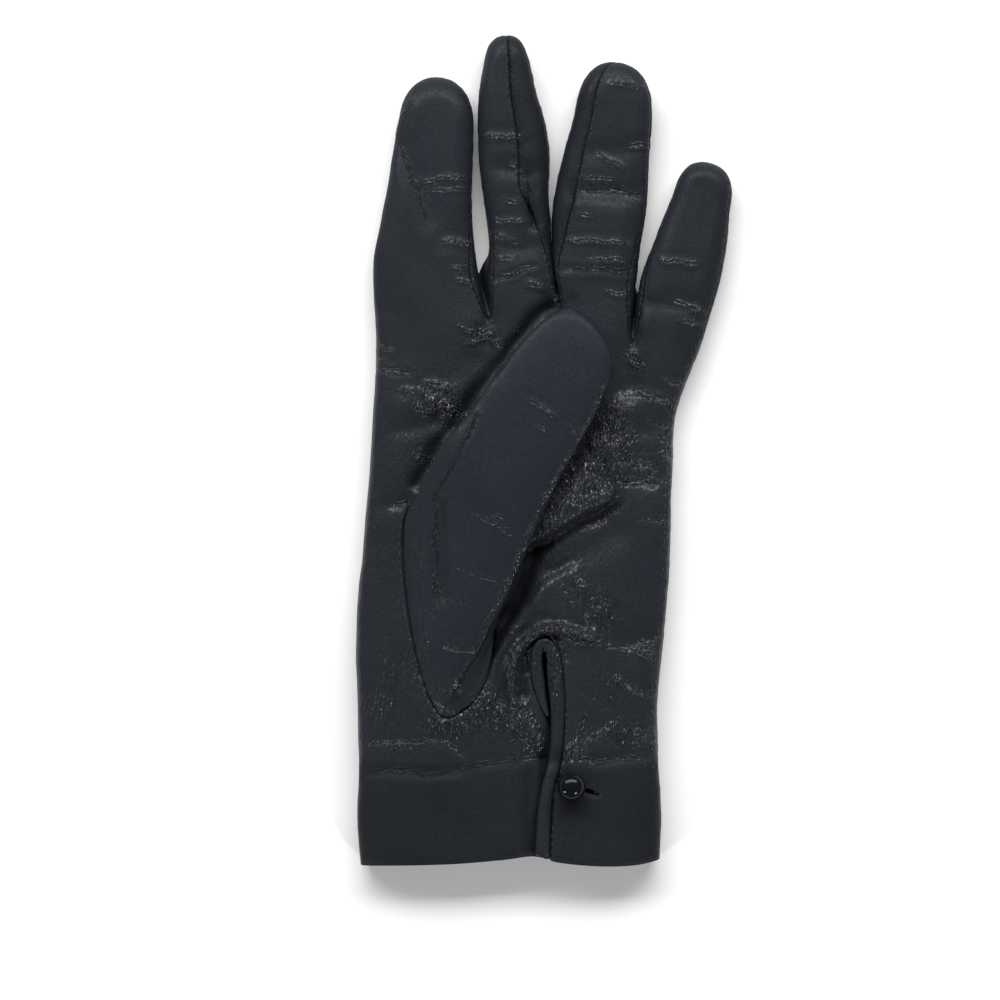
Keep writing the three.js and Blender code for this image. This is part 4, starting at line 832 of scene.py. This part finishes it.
def kid_leather(name, colour, cells=2.6, grain=0.05, crinkle=0.24, dull=0.6, shine=0.32, hem=None):
    """Kid leather with its own colour, cells of grain per mm, depths of grain and crinkles, and gloss."""
    made, tree, surface = new_material(name)
    place = in_millimetres(tree)
    noted = {key: node(tree, "Attribute", attribute_name=key).outputs["Fac"] for key in LEATHER_NOTES}

    def placed(effect, **values):
        made_node = node(tree, "Group", node_tree=effect)
        for socket, value in {"Place": place, **values}.items():
            socket = made_node.inputs[socket.replace("_", " ")]
            if isinstance(value, bpy.types.NodeSocket):
                tree.links.new(value, socket)
            else:
                socket.default_value = value
        return made_node.outputs

    fine = placed(kid_grain, Cells_per_mm=cells)
    beads = placed(crinkled, Amount=noted["crinkle"])
    lines = placed(lined, Line=noted["line"], Press=noted["press"], Seam=noted["seam"])
    # The base colour carries painted shade in creases, hollows and on side walls.
    base = placed(dye_and_painted_shade, Colour=(*colour, 1), Dark=lines["Dark"], Hollow=noted["hollow"])["Colour"]
    if hem:
        band = node(tree, "SeparateXYZ", {0: place}).outputs["Y"]
        band = spread(tree, band, hem - HEM_BLUR, hem + HEM_BLUR, HEM_SHADE, 1.0)
        base = node(tree, "VectorMath", {0: base, "Scale": band}, operation="SCALE").outputs[0]
    lips = maths(tree, "MULTIPLY", lines["Lip"], spread(tree, noted["crinkle"], 0.1, 0.7, 0.1, 1.0))
    glint = maths(tree, "MAXIMUM", beads["Shine"], lips)
    # The coat is dimmed where the painted shade of the hollows lies.
    glint = maths(tree, "MULTIPLY", glint, spread(tree, noted["hollow"], 0.2, 0.9, 1.0, 0.15))
    tree.links.new(base, surface.inputs["Base Color"])
    tree.links.new(maths(tree, "MULTIPLY_ADD", glint, shine - dull, dull), surface.inputs["Roughness"])
    tree.links.new(glint, surface.inputs["Coat Weight"])
    surface.inputs["Coat Roughness"].default_value = 0.18
    surface.inputs["Specular IOR Level"].default_value = 0.16
    creased = bumped(tree, lines["Height"], LINE_DEPTH)
    folded = bumped(tree, beads["Height"], crinkle, normal=creased)
    tree.links.new(bumped(tree, fine["Height"], grain, normal=folded), surface.inputs["Normal"])
    tree.links.new(folded, surface.inputs["Coat Normal"])
    return made


def in_scene(name, data):
    made = bpy.data.objects.new(name, data)
    bpy.context.scene.collection.objects.link(made)
    return made


def finish_piece(bm, name, material, replaced=None, wall=None):
    """Brings a mesh from millimetres into the part's frame, dresses it and lets it ride on the part."""
    bmesh.ops.transform(bm, matrix=PLACE, verts=bm.verts)
    mesh = bpy.data.meshes.new(name)
    bm.to_mesh(mesh)
    bm.free()
    mesh.polygons.foreach_set("use_smooth", [True] * len(mesh.polygons))
    mesh.materials.append(material)
    piece = in_scene(name, mesh)
    if wall:
        thick = piece.modifiers.new("wall", "SOLIDIFY")
        thick.thickness, thick.offset = wall / 1000, -1
    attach(piece, "root")
    if replaced:
        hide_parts(replaced)
    return piece


def leather_piece(name, number, material):
    """Takes one sewn piece out of the skin of the hand; the turned hem has the thicker wall."""
    bm = skin.copy()
    layer = bm.faces.layers.int["piece"]
    bmesh.ops.delete(bm, geom=[f for f in bm.faces if f[layer] != number], context="FACES")
    low_wall = THIN_LEATHER if number else LEATHER
    weights = [LEATHER if v.co.z > LOW_SKIN else low_wall for v in bm.verts]
    weights = [HEM_LEATHER if v.co.y < HEM_DEPTH else weight for v, weight in zip(bm.verts, weights)]
    piece = finish_piece(bm, name + "_kid", material, name, HEM_LEATHER)
    thickness = piece.vertex_groups.new(name="thickness")
    for wall in (HEM_LEATHER, LEATHER, THIN_LEATHER):
        alike = [i for i, weight in enumerate(weights) if weight == wall]
        thickness.add(alike, wall / HEM_LEATHER, "REPLACE")
    piece.modifiers["wall"].vertex_group = "thickness"
    return piece


HEM_LINE = (PLACE @ Vector((0, HEM_DEPTH, 0))).y * 1000
NAVY_BLACK = (0.0085, 0.0108, 0.0148)
trank_leather = kid_leather("trank_leather", NAVY_BLACK, grain=0.055, crinkle=0.26, hem=HEM_LINE)
leather_piece("trank", 0, trank_leather)

# FOURCHETTES
# Three narrow strips of the same leather stand between the fingers as their side walls, sewn to the palm
# and the back along fine seams. They are cut from the same skin, so their edges meet the trank's.
# The fourchettes' colour is the trank's darkened: painted shade between the fingers.
fourchette_painted_shade_leather = kid_leather("fourchette_painted_shade_leather", (0.0058, 0.0075, 0.0104), dull=0.62, shine=0.34)
for number, name in enumerate(PIECES[1:], start=1):
    leather_piece(name, number, fourchette_painted_shade_leather)

# THUMB
# The thumb is a tube of its own, cut in one with its seam on the index side, set into the hole in the palm
# and laid up over it. It lies flat but for its round edges, and shades the palm beside it.
THUMB_CREASES = [
    (0.6, -0.42, 0, [(-7.6, 104.4), (-9.4, 100.5), (-12.1, 94.7), (-15.2, 90), (-17, 87), (-17.3, 84)]),
    (0.6, -0.5, 0, [(-17.2, 86), (-17.4, 78), (-17.2, 68), (-17, 61)]),
    (0.7, 0.16, 0.3, [(4, 108), (7, 106.8), (10.7, 104.2)]),
    (0.7, 0.14, 0.3, [(13.5, 102), (16.4, 99.8)]),
    (0.6, 0.14, 0.3, [(5.3, 102.5), (8.8, 100.4)]),
    (0.5, 0.1, 0.3, [(-9.5, 82.3), (-4, 79.4), (3.2, 76)]),
    (0.5, 0.1, 0.25, [(-4.9, 82.8), (-0.2, 80)]),
    (0.6, 0.12, 0.2, [(-14, 70), (-6, 67), (0, 66)]),
    (0.6, -0.14, 0.2, [(-16, 51), (-12, 50), (-8, 50)]),
    (0.5, 0.2, 1, [
        (21.9, 111.5), (19.4, 106), (18, 102.8), (13.4, 94.4), (7.8, 84.7), (4.3, 76.7), (0.6, 68.8),
        (-4.1, 58.1), (-8.7, 48.8), (-14.1, 39.5),
    ]),
]
THUMB_PATCHES = [
    (14, 103, 6, 4, 0.2), (-12, 61.6, 3.4, 1.1, 0.8), (-12.4, 52.4, 3.2, 1.6, 0.7), (-21, 72, 1.8, 5, 0.6),
    (-19.5, 56, 3, 12, 0.7), (-15, 42, 4, 5, 0.5), (21, 106, 1.5, 5, 0.3),
]
thumb = new_leather()
points, turn, up = sheet_grid(thumb, 92, 150)
lay(points, thumb_point(13 * up, 2 * np.pi * turn))
bmesh.ops.remove_doubles(thumb, verts=thumb.verts, dist=SAME_POINT)
hole_line = [Vector(place) for place in hole_ring]
THUMB_MOULDS = [(1.4, -0.8, [(-15.8, 85), (-15.8, 63)]), (1.2, -0.6, [(-11.6, 39.5), (-11, 37)])]
# The thumb's steep side walls and hollows are painted with shade.
dig(
    thumb, hole_line, creases=THUMB_CREASES, moulds=THUMB_MOULDS, patches=THUMB_PATCHES,
    calm=0.4, worn=0.1, shade=0.95,
)
thumb_leather = kid_leather("thumb_leather", (0.0092, 0.0118, 0.0168), grain=0.045, crinkle=0.22)
finish_piece(thumb, "thumb_kid", thumb_leather, "thumb", LEATHER)

# VENT BINDING
# A narrow strip folded over the free edge of the vent and round the slit's end, glued and stitched down,
# its crown standing a little proud of the palm.
binding = new_leather()
points, across, along = sheet_grid(binding, 12, 130)
across = 2 * across - 1
x, y = binding_point(along, across)
crown = (1 - np.abs(across) ** 2.6) ** 0.6
BINDING_SINK, BINDING_WALL = 0.35, 0.9
lay(points, np.column_stack([x, y, palm_height(x, y) + BINDING_RISE * crown - BINDING_SINK]))
bmesh.ops.reverse_faces(binding, faces=binding.faces)
dig(binding, [], patches=[(7, 48, 5, 6, 0.7), (11, 40, 3, 9, 0.7), (8, 12, 3, 12, 0.3)], calm=0.4)
binding_leather = kid_leather("binding_leather", NAVY_BLACK, dull=0.56)
finish_piece(binding, "vent_binding_kid", binding_leather, "vent_binding", BINDING_WALL)

# BUTTON TAB
# The underlap that carries the button, a plain rounded tongue of leather inside the cuff.
TAB_LENGTH, TAB_HEIGHT, TAB_SHIFT, TAB_ROUND = 27, 22, 0.21, 0.2
tab = new_leather()
points, across, up = sheet_grid(tab, 30, 26)
across, up = 2 * across - 1, 2 * up - 1
across_round = across * np.sqrt(1 - TAB_ROUND * up**4)
up_round = up * np.sqrt(1 - TAB_ROUND * across**4)
x, y = BUTTON_X + (across_round / 2 - TAB_SHIFT) * TAB_LENGTH, BUTTON_Y + up_round / 2 * TAB_HEIGHT
lay(points, np.column_stack([x, y, palm_height(x, y) - HEM_LEATHER - LAY_GAP]))
dig(tab, [], calm=0.3)
# The tab's colour is darker than the trank's: painted shade under the cuff.
tab_painted_shade_leather = kid_leather(
    "tab_painted_shade_leather", (0.006, 0.0074, 0.0095), cells=2.4, crinkle=0.2, dull=0.62, shine=0.4
)
finish_piece(tab, "button_tab_kid", tab_painted_shade_leather, "button_tab", LEATHER)

# BUTTON
# A small polished black ball on a short shank, sewn through the buttonhole's slot to the underlap.
BUTTON_RADIUS = 3.4
heart = button_high.z * 1000 - BUTTON_RADIUS
foot = button_low.z * 1000
ball = bmesh.new()
profile = [(0.5, foot), (0.5, heart - 3.5), (0.95, heart - 3.32), (1.15, heart - 3.18)]
profile += [
    (BUTTON_RADIUS * math.sin(a), heart - BUTTON_RADIUS * math.cos(a)) for a in np.linspace(0.37, math.pi, 30)
]
chain = [ball.verts.new((BUTTON_X + out, BUTTON_Y, high)) for out, high in [(0, foot)] + profile]
edges = [ball.edges.new(pair) for pair in zip(chain, chain[1:])]
bmesh.ops.spin(
    ball, geom=chain + edges, cent=(BUTTON_X, BUTTON_Y, 0), axis=(0, 0, 1), angle=2 * math.pi, steps=56,
    use_merge=True,
)
bmesh.ops.remove_doubles(ball, verts=ball.verts, dist=0.002)
bmesh.ops.recalc_face_normals(ball, faces=ball.faces)
polished, tree, shader = new_material("polished_black")
place = in_millimetres(tree)
haze = cloudy(tree, place, 0.7, 4.0)
tree.links.new(spread(tree, haze, 0.3, 0.75, 0.05, 0.16), shader.inputs["Roughness"])
rub = spread(tree, cloudy(tree, place, 9.0, 2.0), 0.55, 0.8, 0.0, 1.0)
tones = {"Factor": rub, "A": (0.004, 0.005, 0.006, 1), "B": (0.012, 0.013, 0.015, 1)}
tint = node(tree, "Mix", tones, data_type="RGBA")
tree.links.new(tint.outputs["Result"], shader.inputs["Base Color"])
shader.inputs["Specular IOR Level"].default_value = 0.15
tree.links.new(bumped(tree, haze, 0.02, 0.4), shader.inputs["Normal"])
finish_piece(ball, "button_ball", polished, "button")

# STITCHES
# Twisted silk thread shows as short stitches, two millimetres apart, along the side seam, round the
# thumb hole, beside the binding and round the button's shank.
stitches = bmesh.new()
surface = kdtree.KDTree(len(skin.verts))
skin.normal_update()
tops = [v for v in skin.verts if v.normal.z > -0.1 and v.co.z > LOW_SKIN]
for i, v in enumerate(tops):
    surface.insert((v.co.x, v.co.y, 0), i)
surface.balance()


def stitch(place, way, long, thick):
    """One stitch: a tight little bar of thread that dips into the leather at its two ends."""
    turn = way.to_track_quat("X", "Z").to_matrix().to_4x4()
    shape = Matrix.Translation(place) @ turn @ Matrix.Diagonal((long / 2, thick / 2, thick / 2, 1))
    bmesh.ops.create_uvsphere(stitches, u_segments=6, v_segments=5, radius=1, matrix=shape)


def stitch_row(line, step, long, thick, sink=0.02):
    """Stitches along a line in plan, resting on the leather under it."""
    ahead = 0.0
    for (x1, y1), (x2, y2) in zip(line, line[1:]):
        run = Vector((x2 - x1, y2 - y1, 0))
        while ahead < run.length:
            place = Vector((x1, y1, 0)) + run.normalized() * ahead
            i, away = surface.find(place)[1:]
            if away < 1.2:
                top = tops[i]
                spot = Vector((place.x, place.y, top.co.z)) - top.normal * sink
                stitch(spot, run - top.normal * run.dot(top.normal), long, thick)
            ahead += step
        ahead -= run.length


stitch_row(side_line, step=2.1, long=1.15, thick=0.3)
hole_left = thumb_point(np.zeros(60), np.linspace(0.02, 0.98, 60) * np.pi)
stitch_row([(float(p[0]) - 0.7, float(p[1])) for p in hole_left], step=2.1, long=1.2, thick=0.26)
right_x, right_y = binding_point(np.linspace(0.62, 0.99, 40), np.full(40, 1.22))
stitch_row(list(zip(right_x.tolist(), right_y.tolist())), step=1.9, long=1.15, thick=0.28)
SHANK_TURNS, TURN_STITCHES, TURN_RADIUS, THREAD = 5, 8, 0.62, 0.3
for turn in range(SHANK_TURNS):
    wrap = Matrix.Translation((BUTTON_X, BUTTON_Y, foot + 0.35 + THREAD * turn))
    for step in range(TURN_STITCHES):
        a = math.radians(360 / TURN_STITCHES * step + 20 * turn)
        spot = wrap @ Vector((TURN_RADIUS * math.cos(a), TURN_RADIUS * math.sin(a), 0))
        stitch(spot, Vector((-math.sin(a), math.cos(a), 0.2)), TURN_RADIUS, THREAD)
silk, tree, shader = new_material("silk_thread")
twist = {"Vector": in_millimetres(tree), "Scale": 2.4, "Distortion": 1.0}
ply = node(tree, "TexWave", twist, bands_direction="DIAGONAL").outputs["Fac"]
tones = {"Factor": ply, "A": (0.007, 0.0085, 0.011, 1), "B": (0.018, 0.02, 0.024, 1)}
tint = node(tree, "Mix", tones, data_type="RGBA")
tree.links.new(tint.outputs["Result"], shader.inputs["Base Color"])
tree.links.new(spread(tree, ply, 0.0, 1.0, 0.62, 0.45), shader.inputs["Roughness"])
tree.links.new(bumped(tree, ply, 0.05, 0.8), shader.inputs["Normal"])
finish_piece(stitches, "stitches", silk)
skin.free()

# TABLE, LIGHT AND CAMERA
# The glove lies palm up on a pale table under soft lamps, seen from straight above.
table = bmesh.new()
bmesh.ops.create_grid(table, x_segments=1, y_segments=1, size=1.5)
mesh = bpy.data.meshes.new("table_top")
table.to_mesh(mesh)
table.free()
table_top = in_scene("table_top", mesh)
pale, tree, shader = new_material("pale_table")
shader.inputs["Base Color"].default_value = (0.86, 0.86, 0.86, 1)
shader.inputs["Roughness"].default_value = 0.9
mesh.materials.append(pale)


LIT = (0, -0.01, 0.005)


def lamp(name, place, wide, high, power):
    """A soft rectangular lamp that points at the glove."""
    data = bpy.data.lights.new(name, "AREA")
    data.shape, data.size, data.size_y, data.energy = "RECTANGLE", wide, high, power
    made = in_scene(name, data)
    made.location = place
    made.rotation_euler = (Vector(LIT) - Vector(place)).to_track_quat("-Z", "Y").to_euler()


lamp("top_panel", (-0.05, 0.62, 0.62), 1.6, 0.35, 17)
lamp("right_lamp", (0.5, -0.8, 0.42), 0.14, 0.14, 4)
lamp("left_lamp", (-0.72, -0.68, 0.38), 0.12, 0.12, 4)
world = bpy.context.scene.world or bpy.data.worlds.new("world")
bpy.context.scene.world = world
world.use_nodes = True
sky = world.node_tree.nodes["Background"]
sky.inputs["Color"].default_value = (1, 1, 1, 1)
sky.inputs["Strength"].default_value = 0.13
bpy.context.scene.view_settings.view_transform = "Standard"

camera = in_scene("camera", bpy.data.cameras.new("camera"))
camera.data.lens = 186.8
camera.data.sensor_width = 36
camera.data.clip_end = 10
camera.location = (-0.01015, -0.01175, 1.215)
bpy.context.scene.camera = camera
